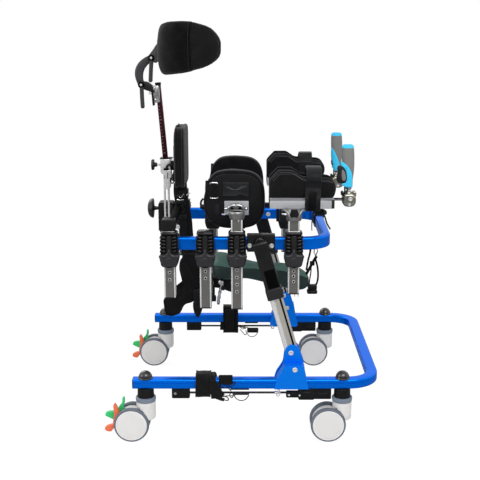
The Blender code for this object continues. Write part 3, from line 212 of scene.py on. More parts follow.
# Swept bar: at each point of the path stands path + a side + b high for every (a, b) of the profile.
# side is the path's direction x up, high is side x the direction, and scale sizes a and b along the
# path.
def sweep(path, profile, up=(0, 0, 1), loop=False, scale=None):
    path = np.asarray(path, float)
    profile = np.asarray(profile, float)
    if loop:
        tangent = unit(np.roll(path, -1, 0) - path) + unit(path - np.roll(path, 1, 0))
    else:
        step = unit(np.diff(path, axis=0))
        tangent = np.concatenate([step[:1], step[1:] + step[:-1], step[-1:]])
    tangent = unit(tangent)
    side = unit(np.cross(tangent, np.broadcast_to(np.asarray(up, float), tangent.shape)))
    high = np.cross(side, tangent)
    size = np.ones((len(path), 2)) if scale is None else np.asarray(scale, float).reshape(len(path), -1)
    size = np.broadcast_to(size, (len(path), 2))
    a = profile[None, :, :1] * size[:, None, :1]
    b = profile[None, :, 1:] * size[:, None, 1:]
    rows = path[:, None] + a * side[:, None] + b * high[:, None]
    return gridShape(rows, loop=loop)


# Bent wire: a round bar along a smoothed path.
def wire(path, radius, rounds=2, count=8):
    return sweep(smoothPath(path, rounds), circle(radius, count), (0, 1, 0))


# The same wire as a closed ring in the plane y = level.
def ringWire(outline, level, radius, count=8):
    return sweep(across("y", outline, level), circle(radius, count), (0, 1, 0), loop=True)


# Webbing: a flat band carried along a path. sideways is the direction of its width.
def webbing(path, width, sideways, thick=0.0016, rounds=2):
    return sweep(smoothPath(path, rounds), roundRect(thick / 2, width / 2, thick * 0.45, 2), sideways)


# Ribbon whose face is turned to the user's right: its width lies in the XZ plane, across the path.
def ribbon(path, level, width, thick=0.0022):
    places = across("y", smoothPath(path), level)
    return sweep(places, roundRect(width / 2, thick / 2, thick * 0.45, 2), (0, 1, 0))


# U tube: straight runs at y = -half and +half, with a quarter circle of the bend at each front corner.
def uPath(rear, front, half, bend, z, steps=14):
    right = arc((front - bend, -half + bend), bend, -90, 0, steps)
    left = arc((front - bend, half - bend), bend, 0, 90, steps)
    straight = np.linspace(rear, front - bend, 8)[:-1]
    start = np.stack([straight, np.full_like(straight, -half)], -1)
    end = np.stack([straight[::-1], np.full_like(straight, half)], -1)
    return across("z", np.concatenate([start, right, left, end]), z)


# Stuffed form: rings run from one face to the other. Ring t keeps (1 - |t|^n)^(1/n) of the outline's
# size, so the rim is full and the faces are crowned; dimple sinks the middle of each face.
def cushion(outline, axis, low, high, power=3.0, rings=22, dimple=0.0):
    outline = np.asarray(outline, float)
    middle = (outline.max(0) + outline.min(0)) / 2
    angle = np.linspace(-np.pi / 2, np.pi / 2, rings)
    reach = np.abs(np.cos(angle)) ** (2 / power)
    level = np.sign(np.sin(angle)) * np.abs(np.sin(angle)) ** (2 / power)
    reach[0] = reach[-1] = 0.02
    rows = []
    for r, t in zip(reach, level):
        ring = middle + (outline - middle) * r
        depth = (low + high) / 2 + (high - low) / 2 * t * (1 - dimple * (1 - r) * abs(t))
        rows.append(across(axis, ring, depth))
    return gridShape(rows)


# Soft unevenness: three crossed sine waves push each point away from the middle of the part.
def rumpled(shape, amount, length, seed=0.0):
    points = shape[0]
    k = 2 * np.pi / length
    x, y, z = (points * k).T
    push = np.sin(x + 0.7 * z + seed) + np.sin(
        0.8 * z - 0.5 * y + 2 * seed) + np.sin(1.3 * y + 0.6 * x + 3 * seed)
    away = unit(points - points.mean(0))
    return points + away * (amount / 3 * push)[:, None], shape[1], shape[2]


# Mirror image in the plane y = 0, with its faces turned back outward.
def mirrored(shape):
    points, quads, ends = shape
    return points * (1, -1, 1), quads[:, ::-1], [end[::-1] for end in ends]


def both(make):
    return joined([make(-1), make(1)])


# Screen colour, written as hex digits, to linear red, green and blue.
def paint(code):
    channels = [int(code[i:i + 2], 16) / 255 for i in (0, 2, 4)]
    return tuple(c / 12.92 if c <= 0.04045 else ((c + 0.055) / 1.055) ** 2.4 for c in channels) + (1.0,)


# Node group with number inputs and outputs; every input is set where the group is used.
def newGroup(name, inputs, outputs):
    group = bpy.data.node_groups.new(name, "ShaderNodeTree")
    for label in inputs:
        group.interface.new_socket(label, in_out="INPUT", socket_type="NodeSocketFloat")
    for label in outputs:
        group.interface.new_socket(label, in_out="OUTPUT", socket_type="NodeSocketFloat")
    start = group.nodes.new("NodeGroupInput")
    end = group.nodes.new("NodeGroupOutput")
    return group, start, end


def link(tree, a, b):
    tree.links.new(a, b)


def mathNode(tree, operation, a, b=None, c=None):
    node = tree.nodes.new("ShaderNodeMath")
    node.operation = operation
    for index, value in enumerate((a, b, c)):
        if value is None:
            continue
        if isinstance(value, (int, float)):
            node.inputs[index].default_value = value
        else:
            link(tree, value, node.inputs[index])
    return node.outputs[0]


def noiseNode(tree, scale, detail=3.0, coordinates=None):
    node = tree.nodes.new("ShaderNodeTexNoise")
    node.inputs["Detail"].default_value = detail
    if coordinates is None:
        coordinates = tree.nodes.new("ShaderNodeTexCoord").outputs["Object"]
    link(tree, coordinates, node.inputs["Vector"])
    if isinstance(scale, (int, float)):
        node.inputs["Scale"].default_value = scale
    else:
        link(tree, scale, node.inputs["Scale"])
    return node.outputs["Fac"]


def rangeNode(tree, value, low, high, toLow, toHigh):
    node = tree.nodes.new("ShaderNodeMapRange")
    link(tree, value, node.inputs["Value"])
    for label, number in (("From Min", low), ("From Max", high), ("To Min", toLow), ("To Max", toHigh)):
        if isinstance(number, (int, float)):
            node.inputs[label].default_value = number
        else:
            link(tree, number, node.inputs[label])
    return node.outputs["Result"]


# Tint of an effect: 1 plus its strength times how far the noise is from its middle.
def setTint(group, start, end, noise, label, extra=None):
    swing = mathNode(group, "MULTIPLY", mathNode(group, "SUBTRACT", noise, 0.5), start.outputs[label])
    if extra is not None:
        swing = mathNode(group, "ADD", swing, extra)
    link(group, mathNode(group, "ADD", swing, 1.0), end.inputs["Tint"])


# Moulded grain: fine noise for the pebbled skin, coarse noise for uneven handling marks.
def makeGrain():
    group, start, end = newGroup("mouldedGrain", ["Scale", "Marks"], ["Tint", "Height"])
    fine = noiseNode(group, start.outputs["Scale"], 2.0)
    coarse = noiseNode(group, 24.0, 4.0)
    setTint(group, start, end, coarse, "Marks")
    link(group, fine, end.inputs["Height"])
    return group


# Drawn metal: noise stretched along one direction for the draw lines, with soft cloudy patches.
def makeDrawn():
    group, start, end = newGroup("drawnMetal", ["Scale", "Along X", "Along Z", "Marks"],
        ["Tint", "Height"])
    split = group.nodes.new("ShaderNodeSeparateXYZ")
    link(group, group.nodes.new("ShaderNodeTexCoord").outputs["Object"], split.inputs[0])
    merge = group.nodes.new("ShaderNodeCombineXYZ")
    link(group, mathNode(group, "MULTIPLY", split.outputs[0], start.outputs["Along X"]),
        merge.inputs[0])
    link(group, split.outputs[1], merge.inputs[1])
    link(group, mathNode(group, "MULTIPLY", split.outputs[2], start.outputs["Along Z"]),
        merge.inputs[2])
    lines = noiseNode(group, start.outputs["Scale"], 2.0, coordinates=merge.outputs[0])
    cloud = noiseNode(group, 18.0, 4.0)
    total = mathNode(group, "ADD", mathNode(group, "MULTIPLY", lines, 0.6),
        mathNode(group, "MULTIPLY", cloud, 0.4))
    setTint(group, start, end, total, "Marks")
    link(group, lines, end.inputs["Height"])
    return group


# Woven cloth: sine ribs along the three axes are added, so that any face shows two crossed threads.
def makeWeave():
    group, start, end = newGroup("wovenCloth", ["Thread", "Fuzz"], ["Tint", "Height"])
    split = group.nodes.new("ShaderNodeSeparateXYZ")
    link(group, group.nodes.new("ShaderNodeTexCoord").outputs["Object"], split.inputs[0])
    ribs = None
    for axis in range(3):
        phase = mathNode(group, "MULTIPLY", split.outputs[axis], start.outputs["Thread"])
        wave = mathNode(group, "SINE", phase)
        ribs = wave if ribs is None else mathNode(group, "ADD", ribs, wave)
    lint = noiseNode(group, 55.0, 5.0)
    setTint(group, start, end, lint, "Fuzz", mathNode(group, "MULTIPLY", ribs, 0.04))
    link(group, mathNode(group, "MULTIPLY", ribs, 0.33), end.inputs["Height"])
    return group


# Dust and scuffs: patchy noise, stronger where the surface faces up; the mask lightens and dulls.
def makeDust():
    group, start, end = newGroup("lyingDust", ["Amount"], ["Mask"])
    normal = group.nodes.new("ShaderNodeSeparateXYZ")
    link(group, group.nodes.new("ShaderNodeNewGeometry").outputs["Normal"], normal.inputs[0])
    upward = rangeNode(group, normal.outputs[2], 0.2, 1.0, 0.25, 1.0)
    patch = rangeNode(group, noiseNode(group, 40.0, 6.0), 0.45, 0.75, 0.0, 1.0)
    mask = mathNode(group, "MULTIPLY", mathNode(group, "MULTIPLY", upward, patch),
        start.outputs["Amount"])
    link(group, mask, end.inputs["Mask"])
    return group


groups = {"grain": makeGrain(), "drawn": makeDrawn(), "weave": makeWeave()}
effectInputs = {
    "grain": ("Scale", "Marks"),
    "drawn": ("Scale", "Along X", "Along Z", "Marks"),
    "weave": ("Thread", "Fuzz"),
}
dustGroup = makeDust()

# colour, roughness, metal, coat, bump, dust, effect, then the effect's inputs in the order given above
finishes = {
    "blueAnodised": ("0072f0", 0.2, 0.62, 0.0, 0.02, 0.02, "drawn", 420.0, 0.03, 1.0, 0.1),
    "bluePainted": ("0078ec", 0.34, 0.25, 0.0, 0.03, 0.02, "grain", 500.0, 0.06),
    "blackMoulded": ("121214", 0.34, 0.0, 0.0, 0.1, 0.03, "grain", 1400.0, 0.3),
    "starCover": ("242427", 0.36, 0.0, 0.0, 0.08, 0.03, "grain", 1400.0, 0.2),
    "blackGloss": ("060607", 0.08, 0.0, 0.6, 0.01, 0.02, "grain", 300.0, 0.1),
    "blackMatte": ("101012", 0.46, 0.0, 0.0, 0.1, 0.03, "grain", 1100.0, 0.25),
    "collarBlack": ("101012", 0.16, 0.0, 0.0, 0.04, 0.03, "grain", 900.0, 0.2),
    "sleeveBlack": ("0c0c0e", 0.22, 0.0, 0.0, 0.04, 0.03, "grain", 900.0, 0.2),
    "deepBlack": ("020202", 0.7, 0.0, 0.0, 0.05, 0.01, "grain", 900.0, 0.2),
    "darkGrey": ("1b1c1f", 0.4, 0.0, 0.0, 0.08, 0.03, "grain", 1200.0, 0.2),
    "slate": ("75808f", 0.48, 0.0, 0.0, 0.05, 0.04, "grain", 1200.0, 0.12),
    "tyreGrey": ("666d79", 0.6, 0.0, 0.0, 0.12, 0.1, "grain", 700.0, 0.22),
    "paleMoulded": ("e2e0de", 0.42, 0.0, 0.0, 0.03, 0.05, "grain", 900.0, 0.05),
    "rimWhite": ("f2f1f0", 0.38, 0.0, 0.0, 0.02, 0.03, "grain", 900.0, 0.03),
    "brakeGreen": ("2fce76", 0.42, 0.0, 0.1, 0.04, 0.04, "grain", 900.0, 0.08),
    "lockOrange": ("f4754d", 0.42, 0.0, 0.1, 0.04, 0.04, "grain", 900.0, 0.08),
    "drawnSilver": ("cbc7be", 0.3, 0.66, 0.0, 0.05, 0.03, "drawn", 700.0, 1.0, 0.02, 0.22),
    "postFace": ("7f7e7c", 0.36, 0.78, 0.0, 0.06, 0.05, "drawn", 900.0, 1.0, 0.02, 0.18),
    "plateSilver": ("b6b7bb", 0.42, 0.35, 0.0, 0.04, 0.03, "drawn", 700.0, 0.03, 1.0, 0.1),
    "polished": ("d4d4d6", 0.14, 1.0, 0.0, 0.02, 0.02, "drawn", 300.0, 0.2, 1.0, 0.1),
    "castGrey": ("8c8c8c", 0.34, 0.85, 0.0, 0.05, 0.03, "drawn", 90.0, 1.0, 1.0, 0.3),
    "castSilver": ("a8a699", 0.22, 0.92, 0.0, 0.04, 0.03, "drawn", 90.0, 1.0, 1.0, 0.22),
    "lugGrey": ("4a4a4c", 0.4, 0.0, 0.0, 0.06, 0.03, "grain", 1200.0, 0.18),
    "armGrey": ("343437", 0.34, 0.0, 0.0, 0.06, 0.03, "grain", 1200.0, 0.18),
    "foldShine": ("5c5c60", 0.22, 0.0, 0.0, 0.03, 0.02, "grain", 1200.0, 0.1),
    # darker fabric; over the back of the head pad it is painted shade
    "padRear": ("060607", 0.9, 0.0, 0.0, 0.18, 0.03, "weave", 3600.0, 0.01),
    "padSmooth": ("101013", 0.7, 0.0, 0.0, 0.16, 0.03, "weave", 3600.0, 0.05),
    "pipingLight": ("45454a", 0.5, 0.0, 0.0, 0.15, 0.02, "weave", 3000.0, 0.15),
    "castOlive": ("9c9a8c", 0.2, 1.0, 0.0, 0.04, 0.03, "drawn", 90.0, 1.0, 1.0, 0.3),
    # white metal for bolts and pins, also laid on edges and rims as painted highlights
    "boltWhite": ("e8e8e8", 0.24, 0.5, 0.0, 0.02, 0.02, "drawn", 300.0, 1.0, 1.0, 0.08),
    "wineAnodised": ("3a0b18", 0.3, 0.55, 0.0, 0.04, 0.02, "drawn", 600.0, 1.0, 0.03, 0.22),
    "padFabric": ("0c0c0e", 0.84, 0.0, 0.0, 0.18, 0.03, "weave", 3600.0, 0.3),
    "satinPanel": ("111113", 0.6, 0.0, 0.0, 0.1, 0.02, "weave", 4200.0, 0.2),
    "webBlack": ("0b0b0d", 0.74, 0.0, 0.0, 0.35, 0.03, "weave", 2400.0, 0.3),
    "strapSheen": ("0d0e11", 0.5, 0.0, 0.0, 0.25, 0.03, "weave", 2600.0, 0.2),
    "pipingGrey": ("1c1c1f", 0.55, 0.0, 0.0, 0.15, 0.02, "weave", 3000.0, 0.15),
    "windowVinyl": ("0a0d10", 0.12, 0.0, 0.5, 0.05, 0.02, "grain", 120.0, 0.3),
    "seatSkin": ("17302b", 0.5, 0.0, 0.0, 0.1, 0.03, "grain", 1600.0, 0.16),
    "seatTop": ("466c5f", 0.5, 0.0, 0.0, 0.1, 0.04, "grain", 1600.0, 0.12),
    "gripRubber": ("787876", 0.62, 0.0, 0.0, 0.14, 0.04, "grain", 1500.0, 0.1),
    "gripCyan": ("38c8f4", 0.45, 0.0, 0.0, 0.06, 0.03, "grain", 1200.0, 0.06),
    "thumbBlack": ("0c0d0f", 0.6, 0.0, 0.0, 0.12, 0.03, "grain", 1200.0, 0.2),
    "clearHook": ("d8d2d4", 0.22, 0.0, 0.2, 0.03, 0.03, "grain", 600.0, 0.1),
}


# How strongly each effect mirrors the white surroundings; a finish named here has its own value.
gloss = {"grain": 0.42, "drawn": 0.4, "weave": 0.12, "deepBlack": 0.06, "blackMatte": 0.22,
    "padRear": 0.03, "padSmooth": 0.03}


def makeFinish(name):
    colour, rough, metal, coat, bump, dust, effect, *values = finishes[name]
    material = bpy.data.materials.new(name)
    material.use_nodes = True
    tree = material.node_tree
    shader = next(node for node in tree.nodes if node.type == "BSDF_PRINCIPLED")
    group = tree.nodes.new("ShaderNodeGroup")
    group.node_tree = groups[effect]
    for label, value in zip(effectInputs[effect], values):
        group.inputs[label].default_value = value
    tint = tree.nodes.new("ShaderNodeMix")
    tint.data_type = "RGBA"
    tint.blend_type = "MULTIPLY"
    tint.inputs["Factor"].default_value = 1.0
    tint.inputs["A"].default_value = paint(colour)
    link(tree, group.outputs["Tint"], tint.inputs["B"])
    dusty = tree.nodes.new("ShaderNodeGroup")
    dusty.node_tree = dustGroup
    dusty.inputs["Amount"].default_value = dust
    cover = tree.nodes.new("ShaderNodeMix")
    cover.data_type = "RGBA"
    link(tree, dusty.outputs["Mask"], cover.inputs["Factor"])
    link(tree, tint.outputs["Result"], cover.inputs["A"])
    cover.inputs["B"].default_value = paint("b8b4ae")
    link(tree, cover.outputs["Result"], shader.inputs["Base Color"])
    lift = mathNode(tree, "MULTIPLY_ADD", dusty.outputs["Mask"], 0.5, rough)
    link(tree, lift, shader.inputs["Roughness"])
    height = tree.nodes.new("ShaderNodeBump")
    height.inputs["Strength"].default_value = bump
    height.inputs["Distance"].default_value = 0.0004
    link(tree, group.outputs["Height"], height.inputs["Height"])
    link(tree, height.outputs["Normal"], shader.inputs["Normal"])
    shader.inputs["Metallic"].default_value = metal
    if name.startswith("blue"):
        shader.inputs["Specular Tint"].default_value = paint("7cc0ff")
    mirror = gloss.get(name, gloss[effect]) if coat == 0 else 0.5
    shader.inputs["Specular IOR Level"].default_value = mirror
    shader.inputs["Coat Weight"].default_value = coat
    shader.inputs["Coat Roughness"].default_value = 0.12
    if effect == "weave":
        shader.inputs["Sheen Weight"].default_value = 0.12
        shader.inputs["Sheen Roughness"].default_value = 0.5
    return material


materials = {name: makeFinish(name) for name in finishes}
print("finishes made:", len(materials))


# Edges that bend by more than this many degrees are shown sharp.
sharpAngle = 32


# Puts one piece in. side mirrors it for the right side, and rumple gives it the soft unevenness.
def put(name, shapes, body, slotName, finish, gone=(), padding=None, side="left", rumple=None):
    shape = joined(shapes) if isinstance(shapes, list) else shapes
    if side == "right":
        shape = mirrored(shape)
    points, quads, ends = rumpled(shape, *rumple) if rumple else shape
    mesh = bpy.data.meshes.new(name)
    mesh.from_pydata(points.tolist(), [], quads.tolist() + [end.tolist() for end in ends])
    mesh.materials.append(materials[finish])
    mesh.shade_smooth()
    mesh.set_sharp_from_angle(angle=math.radians(sharpAngle))
    piece = bpy.data.objects.new(name, mesh)
    bpy.context.scene.collection.objects.link(piece)
    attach(piece, body)
    if gone:
        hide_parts(*gone)
    return piece


# Puts in the pieces of one side. Shapes are given for the left; a name that ends in "_" gets the side.
def onSide(side):
    def full(name):
        return name + side if name.endswith("_") else name

    def place(name, shapes, body, slotName, finish, gone=(), padding=None, rumple=None):
        put(full(name), shapes, full(body), slotName, finish, [full(node) for node in gone], padding,
            side, rumple)

    return place


# Bolt head: a low turned dome whose middle is sunk. face is where it sits, out its direction.
def boltHead(axis, centre, face, out, radius=0.004, height=0.0022):
    profile = [(radius, 0.0), (radius, 0.5), (radius * 0.86, 0.88), (radius * 0.55, 1.0),
        (radius * 0.5, 0.45)]
    profile = [(r, face + out * height * h) for r, h in profile]
    return lathe(profile, axis, centre, 18)


baseTube = {
    "halfTrack": 0.31, "halfWidth": 0.016, "halfHeight": 0.014, "corner": 0.0052, "z": 0.168,
    "rear": -0.308, "frontCentre": 0.3767, "bend": 0.075, "grooveHeight": 0.0038, "grooveDepth": 0.0011,
}


# Tube section: a rounded rectangle with a shallow groove along its outer and its inner face.
def tubeSection(halfA, halfB, corner, groove=None, deep=0.001):
    ring = roundRect(halfA, halfB, corner, 5)
    if groove is None:
        return ring
    half = len(ring) // 2
    notch = np.array([(halfA, groove - 0.001), (halfA - deep, groove - 0.0004),
        (halfA - deep, groove + 0.0004), (halfA, groove + 0.001)])
    return np.concatenate([ring[:half], notch[::-1] * (-1, 1), ring[half:], notch])


def addBase():
    b = baseTube
    section = tubeSection(b["halfWidth"], b["halfHeight"], b["corner"], b["grooveHeight"],
        b["grooveDepth"])
    path = uPath(b["rear"], b["frontCentre"], b["halfTrack"], b["bend"], b["z"])
    put("base_tube", sweep(path, section), "base", "blue_paint", "blueAnodised", ["base_frame"])

    def plug(sign):
        middle = np.array((sign * b["halfTrack"], b["z"]))
        rim = slab(roundRect(0.0158, 0.0138, 0.005) + middle, "x", b["rear"] - 0.0024,
            b["rear"] + 0.001, 0.0008)
        face = slab(roundRect(0.0105, 0.0085, 0.003) + middle, "x", b["rear"] - 0.0032,
            b["rear"] - 0.002, 0.0005)
        return joined([rim, face])

    put("base_end_plugs", both(plug), "base", "black_plastic", "blackMoulded")


caster = {
    "places": {"rear_right": (-0.274, -0.31), "rear_left": (-0.274, 0.31),
               "front_right": (0.285, -0.31), "front_left": (0.285, 0.31)},
    "trail": 0.04, "axleZ": 0.05,
}
brakeOutline = [
    (-0.0279, 0.0726), (-0.0211, 0.0726), (-0.0207, 0.0556), (-0.026, 0.044), (-0.022, 0.018),
    (-0.022, 0.005), (-0.03, 0.002), (-0.05, 0.002), (-0.0617, 0.0084), (-0.0688, 0.0118),
    (-0.077, 0.0155), (-0.0787, 0.0205), (-0.0743, 0.0274), (-0.0639, 0.0296), (-0.046, 0.03),
    (-0.04, 0.0415), (-0.0279, 0.0556),
]
lockOutline = [
    (-0.048, 0.0587), (-0.0439, 0.0542), (-0.0384, 0.0402), (-0.0366, 0.0341), (-0.03, 0.0185),
    (-0.022, 0.013), (-0.022, 0.005), (-0.03, 0.0015), (-0.045, -0.01), (-0.0534, -0.0176),
    (-0.0563, -0.0207), (-0.0597, -0.0269), (-0.072, -0.0262), (-0.0787, -0.0207),
    (-0.0787, -0.0143), (-0.0705, -0.0087), (-0.0633, -0.0057), (-0.0544, -0.0057),
    (-0.0549, 0.0045), (-0.0507, 0.0201), (-0.0511, 0.0356), (-0.0533, 0.0536),
]


# Caster housing: a turned cup whose sides step forward to the wheel's circle where the wheels run.
def casterHousing(x, y, axleX):
    profile = np.array([(0.021, 0.0619), (0.0245, 0.0624), (0.0262, 0.0642), (0.0268, 0.068),
        (0.0271, 0.076), (0.0271, 0.086), (0.0272, 0.094), (0.0272, 0.1), (0.0273, 0.102),
        (0.0273, 0.1139)])
    points, quads, ends = lathe(profile, "z", (x, y), 72)
    rise = points[:, 2] - caster["axleZ"]
    front = axleX + np.sqrt(np.maximum(0.0512 ** 2 - rise ** 2, 0))
    inWay = (np.abs(points[:, 1] - y) > 0.0146) & (points[:, 0] < front) & (np.abs(rise) < 0.0512)
    points[:, 0] = np.where(inWay, front, points[:, 0])
    return points, quads, ends


# Caster hood: two discs beside the wheels, a band along an arc of 43 mm over them and the hub.
def casterHood(y, axleX, isRear):
    discs = [
        slab(circle(0.044, 48) + (axleX, caster["axleZ"]), "y", y + s * 0.0122, y + s * 0.0149, 0.0009)
        for s in (-1, 1)]
    ring = arc((axleX, caster["axleZ"]), 0.043, -30, 118 if isRear else 210, 30)
    cover = sweep(across("y", ring, y), roundRect(0.0012, 0.0126, 0.0005, 2), (0, 1, 0))
    rib = rod("y", (axleX + 0.002, caster["axleZ"]), 0.011, y - 0.0135, y + 0.0135)
    return joined(discs + [cover, rib])


def addCaster(name, x, y):
    axleX = x - caster["trail"]
    z = caster["axleZ"]
    isRear = name.startswith("rear")
    dome = np.concatenate(
        [[(0.0207, 0.1821), (0.0209, 0.1832), (0.0205, 0.1842)], arc((0, 0.1842), 0.0196, 4, 87, 10)])
    put("caster_cap_" + name, lathe(dome, "z", (x, y), 40), "base", "black_plastic", "blackGloss",
        ["caster_stem_" + name])
    socket = [(0.0218, 0.154), (0.0228, 0.1532), (0.0231, 0.148), (0.0233, 0.14), (0.0237, 0.131),
        (0.024, 0.129), (0.0236, 0.1277)]
    put("caster_socket_" + name, lathe(socket, "z", (x, y), 40), "base", "black_plastic", "blackMatte")
    collar = [(0.025, 0.1277), (0.0272, 0.1274), (0.0284, 0.1266), (0.0289, 0.1248), (0.0289, 0.1212),
        (0.0284, 0.1178), (0.0278, 0.115), (0.0262, 0.1138)]
    put("caster_collar_" + name, lathe(collar, "z", (x, y), 48), "fork_" + name, "grey_plastic",
        "slate")
    body = joined([casterHousing(x, y, axleX), casterHood(y, axleX, isRear)])
    put("caster_housing_" + name, body, "fork_" + name, "pale_plastic", "paleMoulded",
        ["caster_fork_" + name])

    tyre = [(0.0432, 0.016), (0.0478, 0.0157), (0.0493, 0.0168), (0.05, 0.019), (0.0502, 0.023),
        (0.05, 0.0272), (0.0493, 0.0298), (0.0478, 0.0314), (0.045, 0.0321), (0.0432, 0.031)]
    cover = [(0.004, 0.0162), (0.038, 0.0164), (0.0438, 0.018), (0.0438, 0.0308), (0.0424, 0.0319),
        (0.0412, 0.0322), (0.03, 0.0325), (0.015, 0.0326), (0.002, 0.0326)]
    rim = [(0.0421, 0.0306), (0.042, 0.0321), (0.0426, 0.0325), (0.0435, 0.0325), (0.0441, 0.0318),
        (0.044, 0.0306)]

    def pair(profile, loop=False):
        out = [lathe([(r, y + s * o) for r, o in profile], "y", (axleX, z), 64, loop) for s in (-1, 1)]
        return joined(out)

    put("caster_tyres_" + name, pair(tyre, True), "wheels_" + name, "grey_plastic", "tyreGrey",
        ["caster_wheels_" + name])
    put("caster_covers_" + name, pair(cover), "wheels_" + name, "pale_plastic", "paleMoulded")
    put("caster_rims_" + name, pair(rim, True), "wheels_" + name, "pale_plastic", "rimWhite")
    axle = rod("y", (axleX, z), 0.0042, y - 0.032, y + 0.032)
    put("caster_axle_" + name, axle, "wheels_" + name, "bright_metal", "polished")
    if isRear:
        side = name.split("_")[1]
        for kind, outline, finish, slotName, s in (
                ("brake", brakeOutline, "brakeGreen", "green_plastic", 1),
                ("lock", lockOutline, "lockOrange", "orange_plastic", -1)):
            points = smoothLoop(outline) + (axleX, z)
            pedal = slab(points, "y", y + s * 0.0004, y + s * 0.0119, 0.0016)
            put(f"{kind}_pedal_{side}", pedal, f"{kind}_{side}", slotName, finish,
                [f"{kind}_pedal_{name}"])


leg = {
    "lean": 16.2, "footX": 0.1657, "y": 0.275, "z": 0.168, "halfDepth": 0.0185, "halfWidth": 0.015,
    "bottom": -0.008, "top": 0.365, "sleeveBottom": 0.272, "sleeveTop": 0.434,
    "collarBottom": 0.25, "collarTop": 0.281,
}


# A leg is built upright on its own axis, leaned to the rear and set on its foot.
def onLeg(shape):
    return shifted(turned(shape, "y", -leg["lean"], (0, 0, 0)), leg["footX"], leg["y"], leg["z"])


def addLegTube(side):
    place = onSide(side)
    a, b = leg["halfDepth"], leg["halfWidth"]
    ring = roundRect(a, b, 0.0032, 4)
    n = len(ring) // 4
    groove = np.array([(0.0134, b), (0.0134, b - 0.003), (0.0078, b - 0.003), (0.0078, b)])
    section = np.concatenate([ring[:n], groove, ring[n:3 * n], groove[::-1] * (1, -1), ring[3 * n:]])
    tube = slab(section, "z", leg["bottom"], leg["top"], 0.0004, 1)
    place("leg_inner_tube_", onLeg(tube), "base", "silver_metal", "drawnSilver", ["leg_tube_"])
    # A near-black strip seen down each side groove is painted shade in the groove.
    grooveShade = block((0.008, -b + 0.0022, leg["bottom"] + 0.01), (0.0132, b - 0.0022, leg["top"] - 0.002),
        0.0003)
    # Strips of white metal along the side faces are painted highlights on the tube's edges.
    flats = [block((-a + 0.0014, t * (b - 0.0006), leg["bottom"] + 0.002),
        (-0.0068, t * (b + 0.0005), leg["top"] - 0.002), 0.0012, 0.0004) for t in (-1, 1)]
    flats += [block((-0.006, t * (b - 0.0006), leg["bottom"] + 0.022),
        (-0.0052, t * (b + 0.0003), leg["top"] - 0.002), 0.0003) for t in (-1, 1)]
    place("leg_bright_flats_", onLeg(joined(flats)), "base", "bright_metal", "boltWhite")
    place("leg_groove_lining_", onLeg(grooveShade), "base", "black_plastic", "deepBlack")


def addLegTee(side):
    place = onSide(side)
    a, b = leg["halfDepth"], leg["halfWidth"]
    sleeve = slab(roundRect(a + 0.0029, b + 0.0029, 0.0035), "z", leg["sleeveBottom"],
        leg["sleeveTop"] - 0.016, 0.006, 5)
    plate = block((0.014, 0.2428, 0.537), (0.093, 0.261, 0.588), 0.003, 0.0016)
    ridge = block((0.016, 0.26, 0.5815), (0.091, 0.2618, 0.5835), 0.0006)
    cheek = np.array([(0.0285, 0.538), (0.074, 0.538), (0.065, 0.569), (0.058, 0.58), (0.038, 0.58)])
    gusset = slab(smoothLoop(cheek), "y", 0.26, 0.276, 0.004)
    place("leg_tee_", joined([onLeg(sleeve), plate, ridge, gusset]), "upper_frame", "black_plastic",
        "sleeveBlack", ["leg_sleeve_"])
    out = b + 0.0029
    panel = slab(roundRect(0.0155, 0.027, 0.003) + (0.0035, 0.31), "y", out - 0.0008, out + 0.0004,
        0.0003)
    place("leg_sleeve_panel_", onLeg(panel), "upper_frame", "black_plastic", "deepBlack")
    collar = slab(roundRect(a + 0.005, b + 0.005, 0.0045), "z", leg["collarBottom"], leg["collarTop"],
        0.0022)
    screw = boltHead("x", (0, leg["collarBottom"] + 0.015), a + 0.0049, 1, 0.0035, 0.002)
    place("leg_collar_", onLeg(joined([collar, screw])), "upper_frame", "grey_plastic", "darkGrey")
    bolts = [boltHead("y", (x, 0.555), 0.2608, 1, 0.0068, 0.0034) for x in (0.0213, 0.0832)]
    bolts += [boltHead("y", (x, 0.555), 0.2176, -1, 0.0074, 0.004) for x in (0.0213, 0.0832)]
    place("leg_tee_bolts_", bolts, "upper_frame", "bright_metal", "boltWhite")


def addLegBracket(side):
    place = onSide(side)
    x = leg["footX"]
    front = [(x + 0.0225, 0.1545), (x + 0.017, 0.18), (x + 0.0135, 0.1966), (x + 0.0099, 0.222)]
    rear = [(x - 0.0476, 0.222), (x - 0.0505, 0.212), (x - 0.058, 0.2), (x - 0.066, 0.188),
        (x - 0.071, 0.174), (x - 0.0747, 0.1545)]
    lobe = list(arc((x - 0.0227, 0.2535), 0.021, 6, 174, 18))
    saddle = np.array(front + rear)
    cap = slab(
        np.array([p for p in saddle if p[1] > 0.185] + [(x - 0.067, 0.1826), (x + 0.0165, 0.1826)]),
        "y", 0.2904, 0.3296, 0.0024)
    outer = slab(saddle, "y", 0.3264, 0.3297, 0.001)
    inner = slab(saddle, "y", 0.2903, 0.2936, 0.001)
    tongue = slab([(x + 0.0099, 0.216)] + lobe + [(x - 0.0476, 0.216)], "y", 0.2904, 0.294, 0.001)
    facing = slab(front + lobe + rear, "y", 0.2563, 0.2597, 0.001)
    web = block((x - 0.06, 0.2566, 0.1512), (x + 0.018, 0.2926, 0.1543), 0.0008)
    place("leg_bracket_plate_", [cap, outer, inner, tongue, facing, web], "base", "blue_paint",
        "bluePainted", ["leg_bracket_"])
    spots = [((0.149, 0.213), 0.3296, 1), ((0.1391, 0.2505), 0.2939, 1), ((0.15, 0.219), 0.2564, -1),
        ((0.1391, 0.263), 0.2564, -1)]
    bolts = [boltHead("y", spot, level, out, 0.0074, 0.0034) for spot, level, out in spots]
    place("leg_bracket_bolts_", bolts, "base", "bright_metal", "boltWhite")


rail = {"half": 0.23, "halfWidth": 0.0125, "halfHeight": 0.018, "corner": 0.0055, "z": 0.556,
        "rear": -0.2273, "frontCentre": 0.2422, "bend": 0.066}


